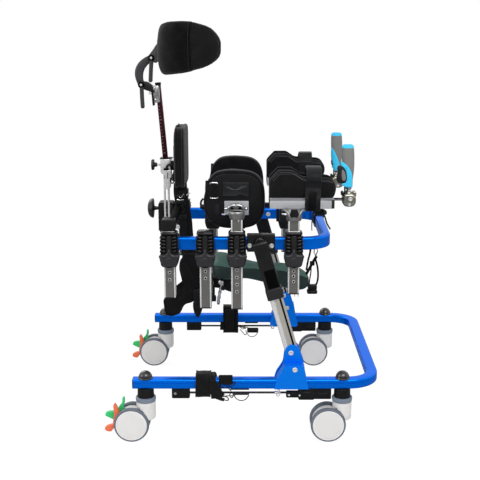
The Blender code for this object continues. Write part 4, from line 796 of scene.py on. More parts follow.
def addRail():
    r = rail
    section = tubeSection(r["halfWidth"], r["halfHeight"], r["corner"])
    path = uPath(r["rear"], r["frontCentre"], r["half"], r["bend"], r["z"], 18)
    put("rail_tube", sweep(path, section), "upper_frame", "blue_paint", "blueAnodised", ["upper_rail"])

    def plug(sign):
        outline = roundRect(r["halfWidth"] - 0.0002, r["halfHeight"] - 0.0002, 0.005)
        return slab(outline + (sign * r["half"], r["z"]), "x", r["rear"] - 0.0022, r["rear"] + 0.001,
            0.0008)

    put("rail_end_plugs", both(plug), "upper_frame", "black_plastic", "blackMoulded")


clamp = {"x": {"a": -0.2022, "b": -0.1021, "c": -0.014, "d": 0.1449}, "postY": 0.263, "outer": 0.288,
    "inner": 0.2441, "bottom": 0.499, "top": 0.589, "half": 0.027,
    "ribLevels": (0.5838, 0.5744, 0.5647, 0.555, 0.545), "ribColumn": 0.015, "ribTilt": 10,
    "rib": (0.0066, 0.0034, 0.0034), "collar": (0.5905, 0.5985),
    "bodies": {"a": "rear_clamps", "b": "seat_clamps", "c": "chest_clamp_", "d": "arm_clamp_"}}
starHalf = [(0.0, 0.551), (0.0026, 0.5495), (0.0042, 0.543), (0.0075, 0.5375), (0.015, 0.5345),
    (0.0235, 0.535), (0.0288, 0.533), (0.0286, 0.527), (0.024, 0.5225), (0.0222, 0.516), (0.024, 0.51),
    (0.0222, 0.5035), (0.015, 0.4996), (0.008, 0.4992)]


# Pillow rib: |x|^2.6 + |z|^2.6 = t^2.6 is carried out by (1 - t^2.6)^(1/2.6), scaled to its size.
def pillow(centre, size, out, tilt):
    t = np.sin(np.linspace(0.1, np.pi / 2, 7))
    ring = superEllipse(1.0, 1.0, 20, 2.6)
    rise = np.clip(1 - t ** 2.6, 0, 1) ** (1 / 2.6)
    cosine, sine = math.cos(math.radians(tilt)), math.sin(math.radians(tilt))
    x = t[:, None] * ring[:, 0] * size[0]
    z = t[:, None] * ring[:, 1] * size[1]
    y = np.broadcast_to((out * rise * size[2])[:, None], x.shape)
    rows = np.stack(
        [centre[0] + x * cosine - z * sine, centre[1] + y, centre[2] + x * sine + z * cosine], -1)
    foot = rows[-1:].copy()
    foot[:, :, 1] = centre[1] - out * 0.001
    return gridShape(np.concatenate([rows, foot]))


# Clamp body: a slab round the post that tapers to its foot, a jaw round the rail, ribs on the flanks.
def clampBody(letter):
    c = clamp
    x = c["x"][letter]
    half, low, high = c["half"], c["bottom"], c["top"]
    right = np.array([(0.0195, low), (0.024, low + 0.009), (half, low + 0.021), (half, low + 0.031),
        (half - 0.0026, low + 0.039), (half - 0.0026, high - 0.011), (half - 0.005, high - 0.004)])
    outline = np.concatenate([right, right[::-1] * (-1, 1)]) + (x, 0)
    guide = slab(outline, "y", c["inner"], c["outer"] - 0.0008, 0.0045, 4)
    jaw = block((x - 0.024, 0.2101, 0.5306), (x + 0.024, 0.2489, 0.5814), 0.0035)
    pad = block((x - 0.017, 0.2088, 0.538), (x + 0.017, 0.211, 0.574), 0.002, 0.0008)
    ear = block((x - half - 0.0006, 0.256, low + 0.0195), (x + half + 0.0006, 0.28, low + 0.032), 0.003)
    spine = block((x - 0.0062, 0.286, 0.53), (x + 0.0062, 0.289, high - 0.001), 0.0022, 0.0012)
    parts = [guide, jaw, pad, ear, spine]
    for level in c["ribLevels"]:
        for s in (-1, 1):
            parts.append(block((x + s * 0.024, 0.256, level - 0.0036),
                (x + s * 0.026, 0.286, level + 0.0004), 0.0012, 0.001))
    return joined(parts)


# Release cover: a cushion over a shield-shaped outline, with a ring and a six-sided button on it.
def clampStar(letter):
    c = clamp
    x = c["x"][letter]
    half = np.array(starHalf)
    outline = smoothLoop(np.concatenate([half, half[:0:-1] * (-1, 1)])) + (x, 0)
    cover = cushion(outline, "y", 0.283, 0.2938, 3.0, 14)
    ring = [(0.0112, 0.2895), (0.0112, 0.2925), (0.0103, 0.2937), (0.0088, 0.2934), (0.0082, 0.2922)]
    ring = lathe(ring, "y", (x, 0.5205), 28)
    button = lathe([(0.0076, 0.291), (0.0074, 0.294), (0.0062, 0.2947), (0.003, 0.2944)], "y",
        (x, 0.5205), 6)
    return joined([cover, ring, button])


def addClamps():
    c = clamp
    for letter, x in c["x"].items():
        for side in sides:
            place = onSide(side)
            body = c["bodies"][letter]
            name = letter + "_"
            place("clamp_block_" + name, clampBody(letter), body, "black_plastic", "blackMoulded",
                ["post_clamp_" + name])
            place("clamp_star_" + name, clampStar(letter), body, "black_plastic", "starCover")
            notch = slab(smoothLoop([(-0.0085, 0.4985), (0.0085, 0.4985), (0.0075, 0.504),
                (0.0, 0.5068), (-0.0075, 0.504)]) + (x, 0), "y", 0.289, 0.2918, 0.0006)
            levels = c["ribLevels"]
            ribs = [pillow((x + s * c["ribColumn"], 0.2874, level), c["rib"], 1, s * c["ribTilt"])
                for level in levels for s in (-1, 1)]
            place("clamp_ribs_" + name, ribs, body, "black_plastic", "collarBlack")
            # Near-black blocks behind the rib columns are painted shade in the gaps between the ribs.
            ribShade = [block((x + s * c["ribColumn"] - 0.0078, 0.286, levels[-1] - 0.006),
                (x + s * c["ribColumn"] + 0.0078, 0.2876, levels[0] + 0.0045), 0.003, 0.0004)
                for s in (-1, 1)]
            place("clamp_rib_beds_" + name, ribShade, body, "black_plastic", "deepBlack")
            low, high = c["collar"]
            gap = block((x - 0.0215, 0.248, low - 0.003), (x + 0.0215, 0.2866, low + 0.001), 0.004,
                0.0006, "z")
            place("clamp_notch_" + name, [notch, gap], body, "black_plastic", "deepBlack")
            rim = block((x - 0.0238, 0.245, low), (x + 0.0238, 0.288, high - 0.0015), 0.0085, 0.0026,
                "z")
            lip = block((x - 0.0212, 0.247, high - 0.0025),
                (x + 0.0212, 0.285, high + (0.0015 if letter == "b" else 0.0)), 0.008, 0.002, "z")
            place("clamp_collar_" + name, [rim, lip], body, "black_plastic", "collarBlack")
            if letter in "cd":
                ring = block((x - 0.0182, 0.245, high - 0.0006), (x + 0.0182, 0.2812, high + 0.0016),
                    0.003, 0.0008, "z")
                place("clamp_ring_" + name, ring, body, "bright_metal", "polished")
            bolts = [boltHead("y", (x + s * 0.0105, 0.556), 0.209, -1, 0.0036, 0.002) for s in (-1, 1)]
            place("clamp_bolts_" + name, bolts, body, "bright_metal", "boltWhite")


post = {
    "half": 0.015875, "y": 0.263, "foot": {"a": 0.4066, "b": 0.3771, "c": 0.3742, "d": 0.4184},
    "top": {"a": 0.621, "b": 0.575, "c": 0.6322, "d": 0.6282},
    "holes": {"a": (0.4607, 0.4824), "b": (0.4653, 0.4858), "c": (0.4264, 0.4473, 0.4679, 0.4893),
              "d": (0.4557, 0.4714, 0.4861)},
    "bodies": {"a": "rear_support", "b": "seat_frame", "c": "chest_post_", "d": "arm_post_"},
}


# Square post: a bar with a flute down each face, rolled corners and hole rims in white metal as painted
# highlights, punched holes drawn as dark discs of painted shade, and a foot cap.
def addPosts():
    p = post
    h = p["half"]
    flute = np.array(
        [(0.0105, h - 0.0002), (0.0095, h - 0.0009), (-0.0095, h - 0.0009), (-0.0105, h - 0.0002)])
    quarter = np.concatenate([arc((h - 0.0022, h - 0.0022), 0.002, 0, 90, 3), flute])
    section = np.concatenate([
        quarter @ np.array([(math.cos(t), math.sin(t)), (-math.sin(t), math.cos(t))])
        for t in np.arange(4) * np.pi / 2])
    for letter, x in clamp["x"].items():
        for side in sides:
            place = onSide(side)
            body = p["bodies"][letter]
            name = letter + "_"
            y = p["y"]
            foot, top = p["foot"][letter], p["top"][letter]
            bar = slab(section + (x, y), "z", foot + 0.0012, top, 0.0002, 1)
            gone = [body] if body.endswith("_") else []
            place("post_bar_" + name, bar, body, "silver_metal", "postFace", gone)
            # lighter corner strips are painted highlights on the rolled corners
            corners = [slab(
                roundRect(0.0024, 0.0024, 0.0018) + (x + a * (h - 0.00235), y + b * (h - 0.00235)), "z",
                foot + 0.0015, top - 0.0002, 0.0006) for a in (-1, 1) for b in (-1, 1)]
            rings = []
            dark = []
            face = p["y"] + h - 0.0009
            pitch = np.diff(p["holes"][letter])[0]
            levels = list(p["holes"][letter]) + [p["holes"][letter][-1] + pitch * k for k in (1, 2, 3)]
            for z in levels:
                # the dark disc in each hole is painted shade, the white ring round it a painted
                # highlight
                loop = [(0.003, 0.0), (0.0032, 0.0008), (0.0042, 0.0008), (0.0046, 0.0)]
                rings.append(lathe([(r, face + o) for r, o in loop], "y", (x, z), 18))
                dark.append(lathe([(0.0031, face), (0.0031, face + 0.0009), (0.001, face + 0.00085)],
                    "y", (x, z), 14))
            place("post_edges_" + name, corners + rings, body, "bright_metal", "boltWhite")
            cap = block((x - h - 0.0004, y - h - 0.0004, foot),
                (x + h + 0.0004, y + h + 0.0004, foot + 0.0032), 0.0018, 0.0008, "z")
            place("post_dark_" + name, dark + [cap], body, "black_plastic", "blackMatte")


addBase()
for casterName, (casterX, casterY) in caster["places"].items():
    addCaster(casterName, casterX, casterY)
addRail()
for sideName in sides:
    addLegTube(sideName)
    addLegTee(sideName)
    addLegBracket(sideName)
addClamps()
addPosts()
print("frame, casters, legs, rail, clamps and posts in place")


rear = {"crossbarX": (-0.2181, -0.1863), "crossbarZ": (0.609, 0.634), "crossbarHalf": 0.2789,
    "crossbarWidth": 0.017, "housingX": (-0.2565, -0.2095), "housingZ": (0.549, 0.636),
    "housingHalf": 0.0255, "barX": (-0.239, -0.221), "barY": (-0.0235, -0.0155), "barZ": (0.56, 0.743),
    "stripWidth": 0.0062, "blockX": (-0.2475, -0.2165), "blockZ": (0.723, 0.769)}


# Lobed knob on a screw: rings of radius r (1 + wave cos(lobes a)) follow the profile toward the face it
# is screwed into; the rings near the axis stay round.
def lobedKnob(profile, z, lobes, wave):
    profile = np.asarray(profile, float)
    angle = np.linspace(0, 2 * np.pi, 72, endpoint=False)
    reach = profile[:, :1] * (
        1 + wave * np.cos(lobes * angle) * (profile[:, :1] > profile[:, 0].max() * 0.5))
    rows = np.stack([np.broadcast_to(profile[:, 1:], reach.shape), reach * np.cos(angle),
        z + reach * np.sin(angle)], -1)
    return gridShape(rows)


def addCrossbar():
    r = rear
    x0, x1 = r["crossbarX"]
    z0, z1 = r["crossbarZ"]
    bar = block((x1 - r["crossbarWidth"], -r["crossbarHalf"] + 0.02, z0),
        (x1, r["crossbarHalf"] - 0.02, z1), 0.003, 0.0005)
    middle = block((x0, r["housingHalf"] - 0.001, z0 + 0.001),
        (x1 - 0.001, -r["housingHalf"] + 0.001, z1 - 0.001), 0.001, 0.0005)
    put("rear_crossbar", [bar, middle], "rear_support", "black_plastic", "deepBlack", ["rear_support"])
    caps = [block((x0 - 0.0042, s * 0.245, 0.6005), (x1 + 0.0022, s * 0.285, 0.6335), 0.004, 0.003)
        for s in (-1, 1)]
    ledge = [block((x0 - 0.001, s * 0.246, 0.5985), (x1 - 0.001, s * 0.2836, 0.6004), 0.0006)
        for s in (-1, 1)]
    put("rear_crossbar_caps", caps, "rear_support", "black_plastic", "blackMatte")
    put("rear_crossbar_ledges", ledge, "rear_support", "bright_metal", "polished")


def addBarHousing():
    r = rear
    x0, x1 = r["housingX"]
    z0, z1 = r["housingZ"]
    slotLow, slotHigh = r["barX"][0] - 0.0012, r["barX"][1] + 0.0012
    front = [(x0, z0), (x1, z0), (x1, z1 - 0.006), (x1 - 0.002, z1 - 0.0015), (x1 - 0.006, z1),
        (slotHigh, z1), (slotHigh, 0.594), (slotHigh - 0.003, 0.591), (slotLow + 0.003, 0.591),
        (slotLow, 0.594), (slotLow, z1), (x0 + 0.006, z1), (x0 + 0.002, z1 - 0.0015), (x0, z1 - 0.006)]
    face = slab(front, "y", -r["housingHalf"], -0.014, 0.001)
    back = block((x0, -0.0145, z0), (x1, r["housingHalf"], z1), 0.006, 0.0025)
    seam = block((x0 + 0.002, -r["housingHalf"] - 0.0005, 0.579),
        (x1 - 0.002, -r["housingHalf"] + 0.001, 0.5802), 0.0003)
    skirt = block((x0 + 0.003, -0.0225, z0 - 0.005), (x1 - 0.003, 0.0225, z0 + 0.002), 0.003, 0.001,
        "z")
    put("bar_housing", [face, back, seam, skirt], "rear_support", "black_plastic", "blackMatte")
    foot = block((x0 + 0.004, -0.0235, z0 - 0.0068), (x1 - 0.004, 0.0235, z0 - 0.0048), 0.0006)
    screws = [boltHead("y", (x1 + 0.004, 0.567), -0.02, -1, 0.0042, 0.004)]
    put("bar_housing_bolts", [foot] + screws, "rear_support", "bright_metal", "boltWhite")


def addBackBar():
    r = rear
    y0, y1 = r["barY"]
    b0, b1 = r["barZ"]
    x0, x1 = r["barX"]
    strips = [block((x0, y0, b0), (x0 + r["stripWidth"], y1, b1), 0.001),
        block((x1 - r["stripWidth"], y0, b0), (x1, y1, b1), 0.001),
        block((x0, y0, b0), (x1, y1, b0 + 0.01), 0.0012), block((x0, y0, 0.708), (x1, y1, b1), 0.0012)]
    wedge = slab([(-0.2375, 0.734), (-0.215, 0.7365), (-0.213, 0.72), (-0.218, 0.682), (-0.225, 0.674),
        (-0.232, 0.679), (-0.235, 0.709)], "y", -0.0262, -0.006, 0.0016)
    put("back_bar_slotted", strips + [wedge], "back_support", "bright_metal", "boltWhite", ["back_bar"])
    x0, x1 = r["blockX"]
    z0, z1 = r["blockZ"]
    top = block((x0, -0.0235, z0 + 0.004), (x1, 0.0125, z1), 0.0022)
    chin = block((x0 + 0.002, -0.0225, z0), (x0 + 0.016, 0.0115, z0 + 0.012), 0.0022)
    put("back_bar_block", [top, chin], "back_support", "silver_metal", "boltWhite")
    lid = block((x0 - 0.0015, -0.0245, z1 - 0.0005), (x1 + 0.0045, 0.0135, z1 + 0.0024), 0.001)
    plate = block((-0.2073, -0.03, 0.723), (-0.2033, 0.03, 0.809), 0.003, 0.0012, "x")
    bridge = block((x1 - 0.002, -0.012, 0.733), (-0.205, 0.01, 0.757), 0.003)
    curve = np.array([(-0.23, 0.739), (-0.2268, 0.7485), (-0.2177, 0.7541), (-0.2077, 0.7517),
        (-0.2035, 0.7433), (-0.205, 0.729), (-0.21, 0.7164), (-0.2085, 0.706)])
    lever = sweep(smoothPath(across("y", curve, -0.029)), superEllipse(0.0036, 0.003, 10, 2.5),
        (0, 1, 0))
    foot = lathe([(0.001, -0.033), (0.0052, -0.032), (0.0056, -0.028), (0.001, -0.0262)], "y",
        (-0.208, 0.708), 20)
    slit = block((-0.2268, -0.0268, 0.709), (-0.2244, -0.0258, 0.728), 0.0008)
    hooks = [wire(across("y", p, -0.027), 0.002)
        for p in (
            [(-0.216, 0.713), (-0.2185, 0.704), (-0.215, 0.696), (-0.21, 0.696), (-0.2065, 0.703)],
            [(-0.214, 0.76), (-0.21, 0.764), (-0.206, 0.76), (-0.207, 0.75)])]
    put("back_bar_lever", [lid, plate, bridge, lever, foot, slit] + hooks, "back_support",
        "black_plastic", "blackMatte")
    pins = [rod("y", (-0.1965, 0.7355), 0.0046, -0.048, -0.03, 0.002),
        rod("x", (-0.035, 0.735), 0.0036, -0.202, -0.1915, 0.0015),
        rod("y", (-0.2137, 0.7668), 0.003, -0.029, -0.024, 0.001),
        rod("y", (-0.1985, 0.719), 0.0032, -0.038, -0.03, 0.0012)]
    put("back_bar_pins", pins, "back_support", "bright_metal", "boltWhite")


def addBackKnobs():
    dome = [(0.004, -0.2908), (0.012, -0.2902), (0.02, -0.288), (0.026, -0.284), (0.0296, -0.278),
        (0.0302, -0.2745), (0.029, -0.273), (0.012, -0.2728), (0.008, -0.2715), (0.0066, -0.269),
        (0.0052, -0.262), (0.005, -0.258), (0.0068, -0.2568)]
    put("bar_knob_head", lobedKnob(dome, 0.615, 8, 0.02), "bar_knob", "black_plastic", "blackMoulded",
        ["bar_knob"])
    star = [(0.006, -0.2768), (0.014, -0.2764), (0.016, -0.2745), (0.0162, -0.271), (0.015, -0.2685),
        (0.008, -0.2678), (0.0066, -0.264), (0.0058, -0.2595), (0.005, -0.2588)]
    put("star_knob_head", lobedKnob(star, 0.749, 6, 0.085), "star_knob", "black_plastic",
        "blackMoulded", ["star_knob"])
    screw = rod("x", (0, 0.749), 0.0025, -0.26, -0.246)
    nut = rod("x", (0, 0.749), 0.0042, -0.252, -0.2476, 0.0008, 6)
    put("star_knob_screw", [screw, nut], "star_knob", "bright_metal", "polished")


backPad = {"rear": -0.203, "front": -0.1685, "half": 0.1, "low": 0.69, "high": 0.866, "corner": 0.034}


def addBackPad():
    b = backPad
    middle = (b["low"] + b["high"]) / 2
    outline = roundRect(b["half"], (b["high"] - b["low"]) / 2, b["corner"], 10) + (0, middle)
    pad = cushion(outline, "x", b["rear"], b["front"], 5.5, 26, 0.05)
    put("back_cushion", pad, "back_support", "black_fabric", "padFabric", ["back_pad"], padding=0.8,
        rumple=(0.0012, 0.06))
    edge = inset(outline, -0.0006)
    ridges = [sweep(across("x", edge, x), circle(0.0016, 8), (1, 0, 0), loop=True)
        for x in (-0.1965, -0.177)]
    knot = sweep(smoothPath([(-0.198, -0.03, 0.8655), (-0.194, -0.03, 0.8705), (-0.189, -0.03, 0.8685),
        (-0.186, -0.03, 0.8655)]), circle(0.0026, 8), (0, 1, 0))
    put("back_cushion_piping", ridges + [knot], "back_support", "black_fabric", "pipingGrey")
    steps = ((-0.176, -0.0003), (-0.1735, -0.0004), (-0.1712, 0.001), (-0.1704, 0.0036),
        (-0.1716, 0.0062), (-0.175, 0.0045))
    band = gridShape(np.stack([across("x", inset(outline, d), x) for x, d in steps]), loop=True)
    put("back_cushion_band", band, "back_support", "black_fabric", "satinPanel")


head = {
    "foot": (-0.2337, 0.769), "lean": 4.6, "half": 0.0075, "bottom": -0.042, "top": 0.225,
    "low": (-0.2995, 0.989), "high": (-0.2681, 1.067), "armHalf": 0.008,
}


def onHeadPost(shape):
    return shifted(turned(shape, "y", -head["lean"], (0, 0, 0)), head["foot"][0], 0, head["foot"][1])


def addHeadPost():
    h = head
    section = roundRect(h["half"], h["half"], 0.0014)
    tube = slab(section, "z", h["bottom"], h["top"], 0.0006)
    put("head_post_tube", onHeadPost(tube), "head_post", "wine_metal", "wineAnodised", ["head_post"])
    ticks = [block((-0.0045, -h["half"] - 0.0002, z), (-0.0045 + w, -h["half"] + 0.0004, z + 0.0007),
        0.0001) for z, w in ((0.016 + 0.01 * k, 0.006 if k % 5 == 0 else 0.0035) for k in range(15))]
    put("head_post_marks", onHeadPost(joined(ticks)), "head_post", "silver_metal", "plateSilver")
    flare = lathe([(0.01, 0.21), (0.0105, 0.216), (0.0118, 0.224), (0.012, 0.2262), (0.0105, 0.227)],
        "z", (0, 0), 4)
    flare = turned(flare, "z", 45, (0, 0, 0))
    clampBack = block((-0.0215, -0.0124, 0.16), (-0.016, 0.0124, 0.216), 0.002)
    put("head_post_cap", onHeadPost(joined([flare, clampBack])), "head_post", "black_plastic",
        "blackMatte")
    clamps = [block((-0.0165, -0.0122, 0.168), (0.003, 0.0122, 0.219), 0.003),
        block((-0.015, -0.014, 0.172), (-0.008, 0.014, 0.18), 0.002),
        block((-0.015, -0.014, 0.206), (-0.008, 0.014, 0.214), 0.002),
        boltHead("y", (-0.0115, 0.176), -0.0138, -1, 0.0034, 0.0022),
        boltHead("y", (-0.0115, 0.21), -0.0138, -1, 0.0034, 0.0022)]
    put("head_post_clamp", onHeadPost(joined(clamps)), "head_post", "bright_metal", "polished")
    low = np.array(h["low"])
    bracket = []
    for s in (-1, 1):
        outer = np.concatenate([arc(low, 0.0112, 60, 250, 10),
            [(-0.279, 0.97), (-0.261, 0.964), (-0.26, 0.979), (-0.27, 0.988), (-0.282, 0.9965)]])
        bracket.append(slab(outer, "y", s * 0.0085, s * 0.0126, 0.001))
    put("head_bracket_low", bracket, "head_post", "black_plastic", "blackMoulded")
    pin = rod("y", (-0.2748, 0.9642), 0.0044, -0.013, 0.013)
    put("head_bracket_pin", pin, "head_post", "bright_metal", "boltWhite")


def addHeadArm():
    h = head
    low, high = np.array(h["low"]), np.array(h["high"])
    t = np.linspace(0, 1, 25)[:, None]
    bow = np.array((-0.0255, 0.008)) * 0.8
    centre = low + (high - low) * t + bow * np.sin(np.pi * t) ** 0.8
    width = 0.0095 + 0.0036 * np.sin(np.pi * t)
    strap = sweep(across("y", centre, 0), superEllipse(1.0, h["armHalf"], 24, 3.2), (0, 1, 0),
        scale=np.concatenate([width, np.ones_like(width)], 1))
    eyes = [rod("y", p, 0.01, -h["armHalf"] + 0.0004, h["armHalf"] - 0.0004, 0.0016, 28)
        for p in (low, high)]
    put("head_arm_strap", [strap] + eyes, "head_arm", "grey_plastic", "armGrey", ["head_arm"])
    for label, pivot, tip, body in (("low", low, (-0.2968, 0.9255), "head_post"),
            ("high", high, (-0.2715, 1.002), "head_arm")):
        path = np.array([pivot + (0.001, -0.004), (pivot + np.array(tip)) / 2, tip])
        y = -0.0178
        bar = sweep(smoothPath(across("y", path, y)), superEllipse(0.0062, 0.0034, 16, 2.4), (0, 1, 0))
        knobs = [lathe([(0.0062, y - 0.0016), (0.0062, y + 0.0016), (0.0052, y + 0.003)], "y", tip, 24),
            lathe([(0.0052, y - 0.0032), (0.0062, y - 0.0018), (0.0062, y + 0.001)], "y", tip, 24)]
        put("head_lever_" + label, [bar] + knobs, body, "grey_plastic", "armGrey")
        hub = rod("y", pivot, 0.0094, -0.0222, -0.0132, 0.0018, 28)
        far = rod("y", pivot, 0.008, 0.012, 0.017, 0.0018, 28)
        put("head_hub_" + label, [hub, far], body, "black_plastic", "deepBlack")
        put("head_hub_bolt_" + label, boltHead("y", pivot, -0.022, -1, 0.0036, 0.002), body,
            "bright_metal", "boltWhite")


# U-shaped cushion: a superellipse section is carried along a half circle with straight wings, and its
# height and thickness shrink toward both wing tips.
headCushion = {"thick": 0.045, "half": 0.115, "rearX": -0.25, "tipX": -0.0655,
    "x": (-0.25, -0.243, -0.235, -0.229, -0.215, -0.175, -0.138, -0.114, -0.095, -0.081, -0.072,
        -0.0665, -0.0655),
    "low": (1.052, 1.044, 1.031, 1.019, 1.0205, 1.025, 1.033, 1.0395, 1.047, 1.057, 1.068, 1.084,
        1.096),
    "high": (1.145, 1.154, 1.1615, 1.1645, 1.169, 1.1706, 1.168, 1.1625, 1.1533, 1.1404, 1.127, 1.111,
        1.1), "foldAngle": 84, "foldWidth": 6, "foldRise": 0.14, "coverRows": (23, 62)}


def headCushionRows(grow=0.0):
    h = headCushion
    half = h["thick"] / 2
    reach = h["half"] - half
    centreX = h["rearX"] + half + reach
    run = h["tipX"] - centreX
    wing = 1 - np.sqrt(np.linspace(0, 0.985, 22))
    toTip = 1 - wing * 0.999
    s = np.concatenate([toTip, np.zeros(41), toTip[::-1]])
    angle = np.concatenate([np.full(22, -90.0), np.linspace(-90, 90, 41), np.full(22, 90.0)])
    a = np.radians(angle)
    x = centreX - reach * np.cos(a) + run * s
    y = reach * np.sin(a)
    nx, ny = -np.cos(a), np.sin(a)
    low = np.interp(x, h["x"], h["low"])
    high = np.interp(x, h["x"], h["high"])
    thick = half * np.sqrt(np.clip(1 - 0.97 * s ** 4, 0.02, 1)) * (1 - 0.1 * s)
    fold = np.exp(-((np.abs(angle) - h["foldAngle"]) / h["foldWidth"]) ** 2) * (s < 0.02)
    ring = superEllipse(1.0, 1.0, 48, 2.5)
    out = (thick * (1 + h["foldRise"] * fold) + grow)[:, None] * ring[None, :, 0]
    tall = ((high - low) / 2 + grow)[:, None] * ring[None, :, 1]
    return np.stack([x[:, None] + nx[:, None] * out, y[:, None] + ny[:, None] * out,
        ((low + high) / 2)[:, None] + tall], -1)


def addHeadPad():
    rumple = (0.0012, 0.055, 0.4)
    put("head_cushion", gridShape(headCushionRows()), "head_pad", "black_fabric", "padFabric",
        ["head_pad"], padding=0.75, rumple=rumple)
    # The rear rows of the pad get a darker sheet: painted shade on its back.
    first, last = headCushion["coverRows"]
    rows = headCushionRows(0.001)
    put("head_cushion_cover", gridShape(rows[first:last]), "head_pad", "black_fabric", "padRear",
        rumple=rumple)
    seams = [sweep(rows[3:-3, k], circle(0.001, 6), (0, 0, 1)) for k in (9, 39)]
    seams += [sweep(rows[row], circle(0.0009, 6), (1, 0, 0), loop=True) for row in (24, 60)]
    put("head_cushion_piping", seams, "head_pad", "black_fabric", "pipingGrey")
    lug = np.array([(-0.248, 1.113), (-0.246, 1.06), (-0.256, 1.052), (-0.268, 1.056), (-0.278, 1.067),
        (-0.275, 1.076), (-0.264, 1.09)])
    cheek = [slab(lug, "y", s * 0.0086, s * 0.0126, 0.001) for s in (-1, 1)]
    base = block((-0.249, -0.03, 1.056), (-0.244, 0.03, 1.12), 0.006, 0.0015, "x")
    put("head_cushion_lug", cheek + [base], "head_pad", "grey_plastic", "lugGrey")


chest = {"inner": 0.1345, "outer": 0.1855, "post": (-0.014, 0.263), "ringZ": (0.6325, 0.6545),
    "plateY": (0.1853, 0.1893)}
chestOutline = [
    (-0.106, 0.6967), (-0.112, 0.6676), (-0.109, 0.638), (-0.099, 0.613), (-0.078, 0.595),
    (-0.048, 0.588), (-0.01, 0.5855), (0.024, 0.59), (0.048, 0.604), (0.062, 0.625),
    (0.067, 0.66), (0.0655, 0.695), (0.058, 0.724), (0.042, 0.744), (0.015, 0.7545),
    (-0.023, 0.757), (-0.058, 0.7555), (-0.083, 0.746), (-0.099, 0.725),
]


# right half of the bracket casting's outline, from the crown down
castingHalf = [(0.0, 0.664), (0.011, 0.664), (0.019, 0.659), (0.0235, 0.653), (0.02, 0.649),
    (0.018, 0.642), (0.017, 0.634), (0.012, 0.629), (0.0, 0.628)]


def addChestPad(side):
    place = onSide(side)
    c = chest
    body = "chest_support_"
    outline = smoothLoop(chestOutline, 3)
    pad = cushion(outline, "y", c["inner"], c["outer"], 6.5, 30, 0.02)
    place("chest_cushion_", pad, body, "black_fabric", "padSmooth", ["chest_pad_"], padding=0.85,
        rumple=(0.001, 0.05, 0.9))
    face = c["outer"]
    small = inset(outline, 0.0095)
    seamZ = 0.7455 - 480.0 * (small[:, 0] + 0.022) ** 4
    small[:, 1] = np.minimum(small[:, 1], seamZ)
    panel = slab(small, "y", face - 0.004, face + 0.0016, 0.0016)
    place("chest_panel_", panel, body, "black_fabric", "satinPanel")
    skin = face + 0.0016
    border = slab(roundRect(0.0415, 0.0232, 0.004) + (-0.0178, 0.7028), "y", skin - 0.0008,
        skin + 0.0008, 0.0005)
    place("chest_pocket_", border, body, "black_fabric", "webBlack")
    window = slab(roundRect(0.0375, 0.0195, 0.0025) + (-0.0178, 0.7028), "y", skin, skin + 0.0014,
        0.0005)
    place("chest_window_", window, body, "black_plastic", "windowVinyl")
    glass = skin + 0.0014
    # Two thin grey lines on the vinyl are painted highlights on its creases.
    foldHighlights = [sweep(smoothPath([(x0, glass, 0.711), (-0.02, glass, 0.6985), (x1, glass, 0.713)]),
        circle(0.0006, 6), (0, 1, 0)) for x0, x1 in ((-0.048, 0.002), (-0.04, 0.013))]
    place("chest_window_folds_", foldHighlights, body, "black_plastic", "foldShine")
    marks = slab(roundRect(0.0055, 0.0145, 0.001) + (-0.071, 0.645), "y", skin - 0.0005, skin + 0.0007,
        0.0003)
    place("chest_tab_", marks, body, "black_fabric", "pipingGrey")
    y = skin + 0.003
    bars = [sweep(
        smoothPath(across("y", [(-0.0912, z + d), (-0.0905, z), (-0.0695, z), (-0.0688, z + d)], y)),
        circle(0.0016, 8), (0, 1, 0)) for z, d in ((0.7225, -0.004), (0.6778, 0.004))]
    place("chest_buckle_", bars, body, "bright_metal", "polished")
    bands = [webbing([(x, skin + 0.0004, 0.7255), (x, skin + 0.0044, 0.7225), (x, skin + 0.0038, 0.7),
        (x, skin + 0.0044, 0.6778), (x, skin + 0.0004, 0.6745)], 0.0052, (1, 0, 0), 0.0014)
        for x in (-0.0868, -0.08, -0.0732)]
    outerBand = webbing(
        [(-0.099, skin - 0.0015, 0.728), (-0.1005, skin + 0.0016, 0.7), (-0.099, skin - 0.0015, 0.67)],
        0.01, (1, 0, 0), 0.0016)
    place("chest_webbing_", bands + [outerBand], body, "black_fabric", "webBlack")
    loops = [wire([(-0.112, 0.15, 0.67), (-0.1185, 0.152, 0.664), (-0.12, 0.16, 0.654),
        (-0.116, 0.165, 0.644), (-0.109, 0.165, 0.642)], 0.003),
        block((-0.1215, 0.15, 0.643), (-0.108, 0.172, 0.654), 0.003),
        block((-0.096, 0.16, 0.602), (-0.082, 0.184, 0.613), 0.003)]
    place("chest_side_release_", loops, body, "black_plastic", "blackMatte")


